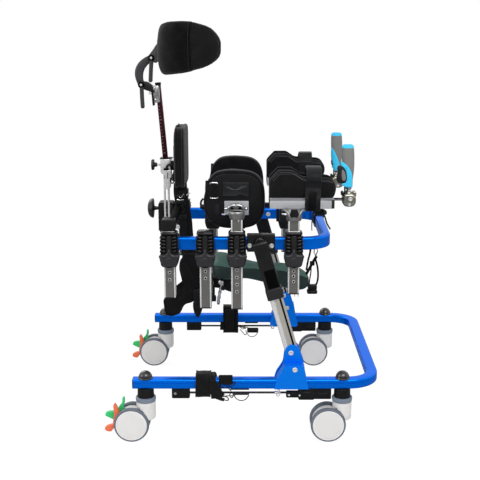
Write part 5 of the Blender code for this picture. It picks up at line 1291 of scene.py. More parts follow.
def addChestBracket(side):
    place = onSide(side)
    c = chest
    body = "chest_support_"
    x, y = c["post"]
    z0, z1 = c["ringZ"]
    plate = block((-0.0505, c["plateY"][0], 0.6285), (0.019, c["plateY"][1], 0.6695), 0.002, 0.001)
    place("chest_plate_", plate, body, "silver_metal", "plateSilver", ["chest_bracket_"])
    hub = lathe([(0.013, z0 - 0.003), (0.0185, z0 - 0.001), (0.0215, z0 + 0.005), (0.0222, z1 - 0.006),
        (0.0215, z1 - 0.002), (0.02, z1), (0.018, z1 - 0.0004), (0.0172, z1 - 0.004)], "z", (x, y), 48)
    crown = smoothLoop(castingHalf + [(-a, b) for a, b in castingHalf[::-1]]) + (x - 0.003, 0)
    casting = slab(crown, "y", 0.1915, 0.224, 0.005, 5)
    stem = block((x - 0.015, 0.22, z0 + 0.002), (x + 0.015, 0.248, z1 - 0.006), 0.005)
    horns = [wire([(x - 0.003 + a * 0.0275, 0.218, 0.651), (x - 0.003 + a * 0.0235, 0.224, 0.653),
        (x - 0.003 + a * 0.0185, 0.227, 0.659), (x - 0.003 + a * 0.011, 0.227, 0.664),
        (x - 0.003 + a * 0.002, 0.2265, 0.664)], 0.0032, 3, 12) for a in (-1, 1)]
    balls = [lathe([(0.001, 0.212), (0.0038, 0.215), (0.0046, 0.219), (0.0038, 0.223), (0.001, 0.225)],
        "y", (x - 0.003 + a * 0.029, 0.6525), 18) for a in (-1, 1)]
    tail = wire([(x - 0.016, 0.25, 0.65), (x - 0.028, 0.254, 0.644), (x - 0.03, 0.255, 0.6432),
        (x - 0.042, 0.256, 0.6432)], 0.0026, count=10)
    bead = lathe([(0.001, y + 0.015), (0.0026, y + 0.0175), (0.001, y + 0.019)], "y",
        (x + 0.005, 0.629), 14)
    place("chest_ring_", [tail, bead] + horns + balls, body, "bright_metal", "polished")
    place("chest_casting_", [hub, casting, stem], body, "bright_metal", "castGrey")
    dark = [lathe([(0.0168, z1 - 0.005), (0.017, z1 - 0.003), (0.016, z1 - 0.0024)], "z", (x, y), 40)]
    # the plugs of the near side are dished and those of the far side are crowned
    rim = sides[side] * 0.0008
    plug = [(0.0032, 0.223), (0.004, 0.223 + rim), (0.004, 0.2246 - rim), (0.0032, 0.2246)]
    dark += [lathe(plug, "y", (x - 0.003 + a * 0.011, 0.6545), 20) for a in (-1, 1)]
    place("chest_ring_dark_", dark, body, "black_plastic", "deepBlack")
    neck = slab(roundRect(0.0125, 0.0125, 0.003) + (x, y), "z", 0.625, 0.6345, 0.001)
    place("chest_post_neck_", neck, "chest_post_", "bright_metal", "polished")


arm = {
    "strapLift": {"right": 0.006, "left": 0.0},
    "channelX": (0.0775, 0.256), "channelY": (0.152, 0.262), "channelZ": (0.66, 0.6865), "wall": 0.004,
    "post": (0.1449, 0.263), "ringZ": 0.6285, "troughY": 0.197, "half": 0.0415, "floor": 0.6868,
    "gutter": 0.0275, "gutterZ": 0.0497, "rodY": 0.173, "rodZ": 0.6715, "rodEnd": 0.318,
}
troughTop = [
    (0.0765, 0.048), (0.079, 0.053), (0.083, 0.058), (0.101, 0.0765), (0.105, 0.0774), (0.108, 0.0776),
    (0.136, 0.0776), (0.14, 0.077), (0.144, 0.0755), (0.164, 0.062), (0.169, 0.06), (0.176, 0.059),
    (0.222, 0.0565), (0.236, 0.0558), (0.244, 0.0546), (0.251, 0.0515), (0.256, 0.047), (0.26, 0.041),
    (0.2625, 0.035), (0.2638, 0.029),
]


# Trough section at one station: outer walls up to the top, rounded shoulders, then into the gutter.
def troughRing(x, low, top, half):
    a = arm
    centre = a["gutterZ"]
    r = a["gutter"] * half / a["half"]
    inner = r if top > centre else math.sqrt(max(r * r - (centre - top) ** 2, 1e-6))
    shoulder = min(0.0065, (half - inner) * 0.55, (top - low) * 0.4)
    bottom = np.stack([np.linspace(0, half - 0.004, 5), np.full(5, low)], -1)
    heel = arc((half - 0.004, low + 0.004), 0.004, -90, 0, 3)[1:]
    wall = np.stack([np.full(4, half), np.linspace(low + 0.004, top - shoulder, 6)[1:-1]], -1)
    over = arc((half - shoulder, top - shoulder), shoulder, 0, 90, 5)
    lip = arc((inner + 0.0025, top - 0.0025), 0.0025, 90, 180, 3)
    start = math.asin(np.clip((min(top, centre) - centre) / r, -1, 0))
    angle = np.linspace(start, -np.pi / 2, 14)[1:]
    drop = np.linspace(top - 0.0025, min(top - 0.003, centre), 4)[1:]
    down = np.stack([np.full(3, inner), drop], -1)
    bowl = np.stack([r * np.cos(angle), centre + r * np.sin(angle)], -1)
    side = np.concatenate([bottom, heel, wall, over, lip, down, bowl])
    ring = np.concatenate([side, side[-2:0:-1] * (-1, 1)])
    return np.stack([np.full(len(ring), x), a["troughY"] + ring[:, 0], a["floor"] + ring[:, 1]], -1)


def addTrough(side):
    place = onSide(side)
    a = arm
    body = "arm_support_"
    top = np.array(troughTop)
    x = top[:, 0]
    plan = np.interp(x, (0.0765, 0.079, 0.086, 0.244, 0.256, 0.261, 0.2638),
        (0.0345, 0.0385, 0.0415, 0.0415, 0.04, 0.036, 0.03))
    low = np.interp(x, (0.255, 0.26, 0.2638), (0.0, 0.007, 0.019))
    rows = np.stack([troughRing(*values) for values in zip(x, low, top[:, 1], plan)])
    place("arm_trough_pad_", gridShape(rows), body, "black_fabric", "padFabric", ["arm_trough_"],
        padding=0.9)
    lines = []
    for drop in (0.0062, 0.0104):
        for wallSide in (-1, 1):
            keep = slice(2, 16)
            y = a["troughY"] + wallSide * (plan[keep] + 0.0002)
            path = np.stack(
                [x[keep] + (0.004 if drop > 0.008 else 0.0), y, a["floor"] + top[keep, 1] - drop], -1)
            lines.append(sweep(smoothPath(path, 1), circle(0.0007, 6), (0, 0, 1)))
    place("arm_trough_seams_", lines, body, "black_fabric", "pipingLight")


def addArmChannel(side):
    place = onSide(side)
    a = arm
    body = "arm_support_"
    y0, y1 = a["channelY"]
    z0, z1 = a["channelZ"]
    x0, x1 = a["channelX"]
    plate = block((x0, y0, z1 - a["wall"]), (x1, y1, z1), 0.0012)
    walls = [block((x0, y, z0), (x1, y + a["wall"], z1), 0.0012) for y in (y0, y1 - a["wall"])]
    place("arm_channel_", [plate] + walls, body, "silver_metal", "plateSilver", ["arm_plate_"])
    ends = [block((x1 - 0.007, y0 + 0.003, z0 + 0.001), (x1 + 0.0014, y1 + 0.0005, z1 - 0.0015), 0.002,
        0.001),
        block((x0 - 0.001, y0 + 0.004, z0 + 0.004), (x0 + 0.005, y1 - 0.004, z1 - 0.004), 0.002, 0.001)]
    place("arm_channel_ends_", ends, body, "grey_plastic", "darkGrey")
    px, py = a["post"]
    ring = lathe([(0.015, a["ringZ"] - 0.003), (0.0205, a["ringZ"]), (0.0222, a["ringZ"] + 0.005),
        (0.0222, 0.656), (0.02, 0.661)], "z", (px, py), 40)
    wings = [wire([(px + s * 0.032, 0.26, 0.656), (px + s * 0.026, 0.27, 0.66),
        (px + s * 0.0165, 0.28, 0.652), (px + s * 0.013, 0.282, 0.64)], 0.004, 3, 12) for s in (-1, 1)]
    nose = wire([(px - 0.015, 0.276, 0.647), (px - 0.026, 0.28, 0.648), (px - 0.035, 0.279, 0.649)],
        0.0024, count=10)
    gripRod = rod("x", (a["rodY"], a["rodZ"]), 0.0035, x1 - 0.03, a["rodEnd"])
    place("arm_ring_", [ring, gripRod] + wings, body, "bright_metal", "castGrey")
    place("arm_nose_", nose, body, "bright_metal", "polished")
    sideRod = rod("x", (a["rodY"] + 0.012, a["rodZ"] + 0.005), 0.002, x1 - 0.02, 0.287)
    tee = lathe([(0.003, 0.66), (0.0036, 0.65), (0.011, 0.647), (0.0165, 0.643), (0.0175, 0.638),
        (0.0165, 0.633), (0.008, 0.63)], "z", (0.2245, 0.2), 6)
    lever = sweep(np.array(
        [(0.101, 0.22, 0.66), (0.1008, 0.22, 0.645), (0.1012, 0.22, 0.63), (0.101, 0.22, 0.617)]),
        superEllipse(0.0044, 0.005, 14, 2.6), (0, 1, 0))
    wedge = slab([(px - 0.009, 0.662), (px + 0.009, 0.662), (px + 0.013, 0.644), (px + 0.009, 0.639),
        (px - 0.009, 0.639), (px - 0.013, 0.644)], "y", 0.279, 0.2852, 0.002)
    place("arm_under_knobs_", [sideRod, tee, lever, wedge], body, "black_plastic", "blackMatte")
    neck = slab(roundRect(0.0125, 0.0125, 0.003) + (px, py), "z", 0.621, 0.6305, 0.001)
    place("arm_post_neck_", neck, "arm_post_", "bright_metal", "polished")
    prongs = [rod("z", (px + d, py - 0.004), 0.0013, 0.406, 0.42) for d in (0.0045, 0.0145)]
    place("arm_post_prongs_", prongs, "arm_post_", "bright_metal", "clearHook")


def addArmStrap(side):
    place = onSide(side)
    a = arm
    body = "arm_support_"
    y = a["troughY"]
    lift = a["strapLift"][side]
    strap = np.array([(0.196, 0.2645, 0.654), (0.1965, 0.2645, 0.686), (0.1975, 0.256, 0.699),
        (0.199, 0.2415, 0.709), (0.2005, 0.2404, 0.732), (0.201, 0.239, 0.744 + lift),
        (0.202, y + 0.023, 0.759 + lift), (0.202, y, 0.764 + lift), (0.201, y - 0.023, 0.76 + lift),
        (0.201, y - 0.0385, 0.746 + lift), (0.201, y - 0.043, 0.73), (0.201, y - 0.044, 0.7),
        (0.201, 0.15, 0.686), (0.201, 0.15, 0.656)])
    bands = [webbing(strap, 0.043, (1, 0, 0), 0.0024, 3)]
    folded = strap[4:9].copy()
    folded[:, 2] += 0.0016
    folded[:, 1] += np.array((0.0022, 0.0018, 0.0, 0.0, 0.0))
    folded[:, 0] += 0.0006
    bands.append(webbing(folded, 0.0405, (1, 0, 0), 0.0026))
    place("arm_strap_", bands, body, "black_fabric", "strapSheen")
    flap = np.array(
        [(0.1945, 0.2662, 0.657), (0.1952, 0.2662, 0.686), (0.1965, 0.26, 0.698), (0.198, 0.25, 0.706)])
    place("arm_strap_panel_", webbing(flap, 0.0225, (1, 0, 0), 0.0016, 3), body, "black_fabric",
        "padRear")


grip = {
    "z": (0.708, 0.716, 0.73, 0.75, 0.771, 0.8, 0.819, 0.8255, 0.829),
    "x": (0.304, 0.3035, 0.3025, 0.302, 0.3018, 0.301, 0.3002, 0.3, 0.3),
    "halfX": (0.0112, 0.0122, 0.0134, 0.0165, 0.0178, 0.018, 0.0172, 0.016, 0.0125),
    "halfY": (0.0108, 0.012, 0.014, 0.0155, 0.016, 0.016, 0.0155, 0.0145, 0.011),
    "y": 0.173, "padShift": {"right": 0.0, "left": 0.016}, "archShift": {"right": 0.0, "left": 0.0045},
}
gripArch = [(0.28, 0.7835), (0.288, 0.7792), (0.2992, 0.7713), (0.3082, 0.7571), (0.3128, 0.7436),
    (0.3133, 0.729), (0.3129, 0.71), (0.296, 0.7096), (0.2895, 0.711), (0.2823, 0.7172),
    (0.2846, 0.7205), (0.2941, 0.7209), (0.2977, 0.7301), (0.2976, 0.7444), (0.294, 0.7571),
    (0.2883, 0.7658), (0.2804, 0.7705)]
gripPad = [(0.27, 0.768), (0.273, 0.7476), (0.2688, 0.738), (0.2698, 0.7265), (0.2736, 0.7205),
    (0.2847, 0.7186), (0.2945, 0.72), (0.2985, 0.7301), (0.2985, 0.7444), (0.2945, 0.7575),
    (0.2883, 0.7662), (0.279, 0.7705)]
gripFace = [(0.2829, 0.7618), (0.2901, 0.7555), (0.2948, 0.7444), (0.2954, 0.7317), (0.2908, 0.7266),
    (0.2844, 0.7285), (0.2822, 0.7444)]


# Grip body between two heights: superellipse rings whose centre and half widths come from the table.
def gripRows(low, high, count, grow):
    g = grip
    z = np.linspace(low, high, count)
    ring = superEllipse(1.0, 1.0, 40, 2.4)
    x = np.interp(z, g["z"], g["x"])[:, None] + (
        np.interp(z, g["z"], g["halfX"]) + grow)[:, None] * ring[:, 0]
    y = g["y"] + (np.interp(z, g["z"], g["halfY"]) + grow)[:, None] * ring[:, 1]
    return np.stack([x, y, np.broadcast_to(z[:, None], x.shape)], -1)


# Skin patch: points (x, z) along a line with a width are laid on the grip's side as a thin shell.
def gripPatch(line, widths, grow, face):
    line = smoothPath(np.column_stack([line, widths]))
    path, width = line[:, :2], line[:, 2]
    step = np.gradient(path, axis=0)
    normal = unit(np.stack([-step[:, 1], step[:, 0]], -1))
    t = np.linspace(-1, 1, 9)
    xz = path[:, None] + normal[:, None] * (width[:, None] * t)[..., None]
    g = grip
    middle = np.interp(xz[..., 1], g["z"], g["x"])
    halfX = np.interp(xz[..., 1], g["z"], g["halfX"])
    halfY = np.interp(xz[..., 1], g["z"], g["halfY"])
    u = np.clip((xz[..., 0] - middle) / halfX, -0.985, 0.985)
    depth = (1 - np.abs(u) ** 2.4) ** (1 / 2.4)
    edge = np.clip((1 - np.abs(t)) * 4, 0, 1)
    layers = []
    for lift in (grow * edge + 0.0001, np.full_like(t, -0.0015)):
        y = g["y"] + face * (halfY * depth + lift)
        x = middle + u * (halfX + lift)
        layers.append(np.stack([x, y, xz[..., 1]], -1))
    ring = np.concatenate([layers[0], layers[1][:, ::-1]], 1)
    return gridShape(ring)


def addGrip(side):
    place = onSide(side)
    g = grip
    body = "grip_"
    place("grip_handle_", gridShape(gripRows(0.715, 0.8205, 26, 0.0)), body, "grip_grey", "gripRubber",
        ["hand_grip_"])
    cyan = [gridShape(gripRows(0.708, 0.7172, 6, 0.0004)), gridShape(gripRows(0.82, 0.8292, 8, 0.0003))]
    y = g["y"]
    shift = g["padShift"][side]
    arch = smoothLoop(gripArch) + (g["archShift"][side], 0)
    cyan.append(slab(arch, "y", y - 0.002, y + 0.0166, 0.0016))
    cyan.append(gripPatch(
        [(0.285, 0.782), (0.288, 0.77), (0.293, 0.752), (0.299, 0.728), (0.301, 0.715)],
        [0.001, 0.006, 0.009, 0.012, 0.013], 0.0009, -1))
    place("grip_bands_", cyan, body, "grip_grey", "gripCyan")
    thumb = gripPatch([(0.2868, 0.768), (0.286, 0.756), (0.288, 0.74), (0.292, 0.726)],
        [0.0022, 0.0034, 0.0034, 0.003], 0.001, 1)
    dots = []
    for z in np.linspace(0.727, 0.764, 6):
        for x in (0.288, 0.292, 0.296):
            dots.append(
                gripPatch([(x - 0.0009, z), (x, z), (x + 0.0009, z)], [0.001, 0.001, 0.001], 0.0016, 1))
    lever = sweep(
        smoothPath([(0.294, y, 0.715), (0.2938, y, 0.704), (0.2944, y, 0.6957), (0.292, y, 0.6852)]),
        superEllipse(0.0024, 0.004, 12, 2.4), (0, 1, 0))
    trigger = slab(smoothLoop(gripPad) + (shift, 0), "y", y - 0.006, y + 0.015, 0.003)
    pip = block((0.283, y - 0.01, 0.684), (0.29, y + 0.01, 0.696), 0.0025)
    place("grip_thumb_", [thumb, lever, trigger, pip] + dots, body, "black_plastic", "thumbBlack")
    face = slab(smoothLoop(gripFace) + (shift, 0), "y", y + 0.012, y + 0.0158, 0.001)
    place("grip_thumb_face_", face, body, "grip_grey", "gripRubber")
    neck = lathe([(0.0078, 0.689), (0.0078, 0.696), (0.0066, 0.6985), (0.0066, 0.703), (0.0082, 0.705),
        (0.0082, 0.7085)], "z", (0.305, y), 28)
    collar = rod("z", (0.305, y), 0.009, 0.702, 0.7062, 0.0012, 28)
    place("grip_neck_", [neck, collar], body, "bright_metal", "polished")
    shell = block((0.2866, y - 0.018, 0.652), (0.3254, y + 0.018, 0.6905), 0.015, 0.007, "y", 6)
    hump = lathe([(0.01, 0.686), (0.012, 0.69), (0.0105, 0.6945), (0.0082, 0.696)], "z", (0.305, y), 28)
    wing = block((0.316, y - 0.015, 0.68), (0.326, y + 0.015, 0.696), 0.0045, 0.0035, "y", 5)
    place("grip_clamp_", [shell, hump, wing], body, "bright_metal", "castSilver")
    # on both grips the bolts face the user's right
    out = -sides[side]
    bolts = [boltHead("y", (0.3085, 0.676), y + out * 0.0178, out, 0.0062, 0.003),
        boltHead("y", (0.306, 0.66), y + out * 0.0178, out, 0.004, 0.002)]
    # The bolts are white metal on the darker clamp, so that they show as painted glints on it.
    place("grip_clamp_bolts_", bolts, body, "bright_metal", "boltWhite")


addCrossbar()
addBarHousing()
addBackBar()
addBackKnobs()
addBackPad()
addHeadPost()
addHeadArm()
addHeadPad()
for sideName in sides:
    addChestPad(sideName)
    addChestBracket(sideName)
    addTrough(sideName)
    addArmChannel(sideName)
    addArmStrap(sideName)
    addGrip(sideName)
print("back, head, chest and forearm supports in place")


seat = {"x": -0.1022, "tubeZ": 0.387, "tubeRadius": 0.0125, "base": 0.4, "postY": 0.251,
    "bracketHalf": 0.03, "power": 3.0,
    "sections": ((-0.093, 0.058, 0.016, 0.056), (-0.09, 0.07, 0.011, 0.062),
        (-0.083, 0.081, 0.005, 0.0655), (-0.07, 0.088, 0.0006, 0.0668), (-0.045, 0.09, 0.0004, 0.0618),
        (-0.018, 0.08, 0.0004, 0.0538), (0.005, 0.058, 0.0004, 0.0478), (0.03, 0.038, -0.007, 0.043),
        (0.06, 0.03, -0.016, 0.04), (0.095, 0.029, -0.0255, 0.04), (0.13, 0.031, -0.035, 0.0393),
        (0.16, 0.031, -0.042, 0.0308), (0.185, 0.027, -0.043, 0.0198), (0.199, 0.02, -0.036, 0.008),
        (0.2045, 0.013, -0.029, -0.001), (0.206, 0.008, -0.024, -0.006))}


# Saddle: rings |y|^n + |z|^n = 1, scaled to each smoothed section's half width and half height.
def saddleRows(grow=0.0):
    s = seat
    table = smoothPath(s["sections"])
    ring = superEllipse(1.0, 1.0, 64, s["power"])
    x, half, low, high = table.T
    y = (half + grow)[:, None] * ring[:, 0]
    z = s["base"] + ((low + high) / 2)[:, None] + ((high - low) / 2 + grow)[:, None] * ring[:, 1]
    return np.stack([np.broadcast_to(x[:, None], y.shape), y, z], -1)


def addSeat():
    s = seat
    rows = saddleRows()
    put("seat_cushion", gridShape(rows), "seat", "seat_green", "seatSkin", ["seat"], padding=0.8)
    upper = saddleRows(0.0009)[4:-5, 4:29]
    under = saddleRows(-0.002)[4:-5, 4:29]
    put("seat_cover", gridShape(np.concatenate([upper, under[:, ::-1]], 1)), "seat", "seat_green",
        "seatTop")
    ridge = saddleRows(0.0008)
    seams = [sweep(ridge[3:-4, k], circle(0.0011, 6), (0, 0, 1)) for k in (4, 28)]
    put("seat_seams", seams, "seat", "black_fabric", "seatSkin")
    x, z = s["x"], s["tubeZ"]
    tube = rod("y", (x, z), s["tubeRadius"], -s["postY"] + 0.012, s["postY"] - 0.012, 0.001, 32)
    ends = [
        rod("y", (x, z), 0.0152, sign * (s["postY"] - 0.0135), sign * (s["postY"] - 0.024), 0.0015, 32)
        for sign in (-1, 1)]
    put("seat_tube", [tube] + ends, "seat_frame", "silver_metal", "drawnSilver", ["seat_frame"])
    b, base = s["bracketHalf"], s["base"]
    profile = [(x - 0.006, base - 0.022), (x + 0.01, base - 0.0295), (x + 0.034, base - 0.032),
        (x + 0.068, base - 0.046), (x + 0.078, base - 0.04), (x + 0.101, base - 0.017),
        (x + 0.098, base - 0.006), (x + 0.08, base), (x + 0.006, base)]
    cheeks = [slab(smoothLoop(profile, 1), "y", sign * b, sign * (b - 0.004), 0.001)
        for sign in (-1, 1)]
    top = block((x + 0.002, -b, base - 0.004), (x + 0.082, b, base), 0.0012)
    wrap = rod("y", (x, z), 0.0158, -b + 0.0005, b - 0.0005, 0.0015, 32)
    put("seat_bracket", cheeks + [top, wrap], "seat_frame", "black_plastic", "blackMatte")
    curve = smoothPath([(-0.065, -0.08, 0.406), (-0.0625, -0.08, 0.393), (-0.066, -0.08, 0.38),
        (-0.069, -0.08, 0.37), (-0.0715, -0.08, 0.354), (-0.0735, -0.08, 0.34), (-0.074, -0.08, 0.331)])
    cam = sweep(curve, superEllipse(0.0042, 0.0036, 14, 2.6), (0, 1, 0),
        scale=1 + 0.35 * np.sin(np.linspace(0, 5 * np.pi, len(curve))) ** 2)
    eye = rod("y", (-0.0655, 0.4), 0.0075, -0.085, -0.03, 0.0015, 28)
    bolt = rod("y", (-0.0655, 0.4), 0.0035, -0.088, 0.034)
    put("seat_cam_lever", [cam, eye, bolt], "seat_frame", "bright_metal", "polished")
    knob = [(0.004, -0.1045), (0.0098, -0.1035), (0.01, -0.0985), (0.0088, -0.097), (0.01, -0.0955),
        (0.01, -0.0905), (0.0088, -0.089), (0.0098, -0.0875), (0.0098, -0.0815), (0.005, -0.08)]
    knob = lathe(knob, "x", (-0.08, 0.35), 24)
    stub = block((-0.096, -0.086, 0.356), (-0.084, -0.074, 0.39), 0.003)
    ball = lathe([(0.001, -0.092), (0.0052, -0.09), (0.007, -0.085), (0.0052, -0.079), (0.001, -0.077)],
        "y", (-0.059, 0.383), 20)
    put("seat_knob", [knob, stub, ball], "seat_frame", "black_plastic", "blackMatte")


ankle = {"track": 0.31, "rodZ": 0.138, "rodRadius": 0.003, "rodX": (-0.19, 0.244),
    "rear": (-0.1992, -0.1484), "front": 0.1252, "half": 0.011, "ceiling": 0.1537, "reach": 0.0218,
    "cuffThick": 0.003}


# Band round the base tube: a rounded loop in the cross plane, leaning along X with its height.
def ankleBand(x, lean, reach, low, high, width, thick=0.003):
    a = ankle
    loop = roundRect(reach, (high - low) / 2, 0.01, 6) + (a["track"], (high + low) / 2)
    path = across("x", loop, 0.0)
    path[:, 0] = x + lean * (path[:, 2] - (high + low) / 2)
    return sweep(path, superEllipse(thick / 2, width / 2, 16, 4.0), (1, 0, 0), loop=True)


# The near cuff hangs closed, its strap slipped to the front; the far one is turned down under the tube.
def addCuff(side):
    place = onSide(side)
    a = ankle
    cuff = "cuff_"
    face = a["track"] + a["reach"] + a["cuffThick"]
    inner = a["track"] - a["reach"] - a["cuffThick"]
    if side == "right":
        bands = [ankleBand(-0.1098, 0.03, a["reach"], 0.132, 0.1975, 0.0425, 0.004),
            ankleBand(-0.08, -0.3, a["reach"] + 0.0015, 0.129, 0.193, 0.027, 0.0034)]
        hems = [ankleBand(-0.1098 + d, 0.03, a["reach"] + 0.0008, 0.132, 0.1975, 0.003, 0.0052)
            for d in (-0.0198, 0.0198)]
        hems += [ankleBand(-0.08 + d, -0.3, a["reach"] + 0.0018, 0.129, 0.193, 0.0024, 0.0042)
            for d in (-0.0115, 0.0115)]
        flap = slab([(-0.0905, 0.186), (-0.074, 0.185), (-0.06, 0.16), (-0.048, 0.142), (-0.06, 0.13),
            (-0.087, 0.13)], "y", face, face + 0.004, 0.0016)
        panel = slab(roundRect(0.0197, 0.0145, 0.003) + (-0.0455, 0.1858), "y", face - 0.001,
            face + 0.0014, 0.0008)
        ties = [webbing([(-0.072, face, 0.133), (-0.06, face + 0.002, 0.129), (-0.05, face, 0.126)],
            0.01, (0, 0, 1), 0.0024)]
        loops = [[(-0.064, 0.174), (-0.06, 0.166), (-0.048, 0.161), (-0.033, 0.164), (-0.019, 0.172),
            (-0.019, 0.18), (-0.034, 0.176), (-0.048, 0.17), (-0.06, 0.177)],
            [(-0.044, 0.168), (-0.038, 0.16), (-0.03, 0.152)],
            [(-0.0221, 0.14), (-0.017, 0.129), (-0.0032, 0.1225), (0.0112, 0.1265), (0.0197, 0.14)],
            [(-0.0351, 0.14), (-0.0293, 0.1514), (-0.0235, 0.14), (-0.0293, 0.1292), (-0.0351, 0.14)]]
        ring = [(-0.024, 0.144), (-0.02, 0.147), (-0.018, 0.142), (-0.022, 0.139)]
        tube = (-0.0227, 0.0203, 0.1448, 0.0042)
        pad = (-0.033, 0.02)
    else:
        bands = [ankleBand(-0.045, 0.0, a["reach"], 0.118, 0.211, 0.052, 0.0042),
            ankleBand(-0.054, 0.04, a["reach"] + 0.0012, 0.128, 0.156, 0.056, 0.003)]
        hems = [ankleBand(-0.045 + d, 0.0, a["reach"] + 0.0008, 0.118, 0.211, 0.003, 0.0052)
            for d in (-0.0245, 0.0245)]
        bands.append(cushion(roundRect(0.0262, 0.03, 0.012, 6) + (-0.045, 0.138), "y", face,
            face - 0.006, 4.0, 10))
        flap = slab(
            [(-0.026, 0.215), (-0.016, 0.214), (-0.013, 0.206), (-0.023, 0.198), (-0.027, 0.203)], "y",
            face, face + 0.003, 0.0012)
        panel = slab(roundRect(0.015, 0.04, 0.004) + (-0.048, 0.165), "y", inner - 0.004, inner, 0.001)
        ties = [webbing(
            [(-0.019, face - 0.04, 0.142), (-0.006, face - 0.04, 0.142), (0.008, face - 0.04, 0.133)],
            0.008, (0, 0, 1), 0.002)]
        loops = [[(-0.012, 0.13), (-0.007, 0.124), (0.006, 0.107), (0.011, 0.115), (0.008, 0.126)],
            [(0.0125, 0.117), (0.018, 0.106), (0.029, 0.102), (0.042, 0.106), (0.05, 0.119)]]
        ring = [(-0.008, 0.142), (0.001, 0.144), (0.003, 0.133), (-0.006, 0.13)]
        tube = (0.0125, 0.052, 0.127, 0.0088)
        pad = (0.005, 0.05)
    place("ankle_wrap_", bands, cuff, "black_fabric", "padFabric", ["ankle_cuff_"], padding=0.6,
        rumple=(0.0014, 0.03, 1.7))
    place("ankle_straps_", [panel, flap] + hems + ties, cuff, "black_fabric", "webBlack")
    level = face if side == "right" else face - 0.042
    parts = [wire(across("y", path, level), 0.0013) for path in loops]
    parts.append(rod("x", (level, tube[2]), tube[3], tube[0], tube[1], 0.002, 20))
    y = a["track"]
    parts.append(block((pad[0], y - 0.013, 0.1505), (pad[1], y + 0.013, 0.1538), 0.001))
    if side == "right":
        buckle = [(-0.069, 0.1345), (-0.056, 0.128), (-0.04, 0.123), (-0.037, 0.129), (-0.044, 0.137)]
        parts.append(ringWire(smoothLoop(buckle), face + 0.001, 0.0015))
    place("ankle_loop_", parts, cuff, "black_fabric", "blackMatte")
    closure = ringWire(smoothLoop(ring), level, 0.0014)
    clasp = [(tube[0] - 0.026, 0.137), (tube[0] - 0.012, 0.1385), (tube[0] + 0.004, 0.137)]
    clasp = wire(across("y", clasp, level), 0.0016)
    place("ankle_buckle_", [closure, clasp], cuff, "bright_metal", "castOlive")


def addAnkle(side):
    place = onSide(side)
    a = ankle
    y = a["track"]
    z = a["rodZ"]
    start = a["front"]
    top = a["ceiling"]
    half = a["half"]
    low, high = a["rear"]
    line = rod("x", (y, z), a["rodRadius"], a["rodX"][0], a["rodX"][1])
    pins = [boltHead("y", (start + 0.008, z - 0.004), y + half - 0.0016, 1, 0.0032, 0.0014),
        boltHead("y", (low + 0.01, z + 0.001), y + half - 0.0004, 1, 0.0036, 0.0014)]
    pins += [boltHead("y", (start + t, z - 0.004), y + half + 0.001, 1, 0.003, 0.0016)
        for t in (0.038, 0.06)]
    place("ankle_rod_", line, "base", "bright_metal", "darkGrey", ["ankle_bar_"])
    ferrule = rod("x", (y, z), 0.0046, start - 0.033, start - 0.021, 0.0012, 16)
    place("ankle_pins_", pins + [ferrule], "base", "bright_metal", "boltWhite")
    parts = [block((low, y - half, z - 0.014), (high, y + half, top), 0.003, 0.002),
        block((low + 0.006, y - half - 0.0008, z - 0.0105),
            (low + 0.02, y + half + 0.0008, top - 0.006), 0.002),
        block((high - 0.012, y - half - 0.0006, z - 0.012),
            (high - 0.009, y + half + 0.0006, top - 0.001), 0.001),
        block((start, y - half + 0.002, z - 0.013), (start + 0.04, y + half - 0.002, z + 0.004), 0.003),
        block((start + 0.034, y - half - 0.0015, z - 0.0185), (start + 0.081, y + half + 0.0015, top),
            0.005, 0.003),
        block((start + 0.046, y - half - 0.0026, z - 0.015),
            (start + 0.069, y + half + 0.0026, top - 0.008), 0.004),
        block((start + 0.079, y - half, z - 0.0165), (start + 0.128, y + half, top), 0.003, 0.002),
        block((start + 0.09, y - half - 0.0008, z - 0.012),
            (start + 0.118, y + half + 0.0008, z + 0.003), 0.002)]
    place("ankle_blocks_", parts, "base", "black_plastic", "blackMatte")
    addCuff(side)
    # both hooks sit a little to the user's right of the rod
    hookY = y - sides[side] * 0.004
    hook = [(-0.026, 0.15), (-0.018, 0.147), (-0.018, 0.129), (-0.026, 0.128), (-0.027, 0.134)]
    hook = wire(across("y", np.array(hook) + (start, 0), hookY), 0.0018)
    plate = block((start - 0.028, y - 0.01, 0.1505), (start - 0.012, y + 0.01, 0.1542), 0.0012)
    place("ankle_hook_", [hook, plate], "base", "bright_metal", "clearHook")


# outline of the padded sling that hangs behind the seat, clockwise from its top rear corner
slingOutline = [(-0.1866, 0.4873), (-0.179, 0.472), (-0.1878, 0.4671), (-0.193, 0.456),
    (-0.194, 0.4332), (-0.1886, 0.4232), (-0.176, 0.415), (-0.164, 0.395), (-0.162, 0.3856),
    (-0.1788, 0.3759), (-0.2028, 0.3631), (-0.209, 0.349), (-0.227, 0.3447), (-0.239, 0.3453),
    (-0.2458, 0.3346), (-0.2426, 0.3162), (-0.24, 0.2959), (-0.2325, 0.287), (-0.2175, 0.2844),
    (-0.2014, 0.29), (-0.1897, 0.2996), (-0.1832, 0.3162), (-0.176, 0.3251), (-0.1538, 0.3288),
    (-0.1439, 0.342), (-0.1258, 0.3786), (-0.118, 0.4332), (-0.1246, 0.4819)]


# Seat straps: the points (x, z) of each run, its level y and its width.
seatStraps = [
    ([(0.196, 0.406), (0.208, 0.428), (0.218, 0.448), (0.229, 0.466)], -0.012, 0.009),
    ([(0.199, 0.415), (0.204, 0.45), (0.21, 0.47), (0.212, 0.498)], 0.01, 0.006),
    ([(0.224, 0.46), (0.232, 0.435), (0.235, 0.41), (0.234, 0.385), (0.226, 0.366)], -0.006, 0.006),
    ([(0.212, 0.44), (0.214, 0.415), (0.21, 0.39), (0.208, 0.37)], 0.006, 0.004)]


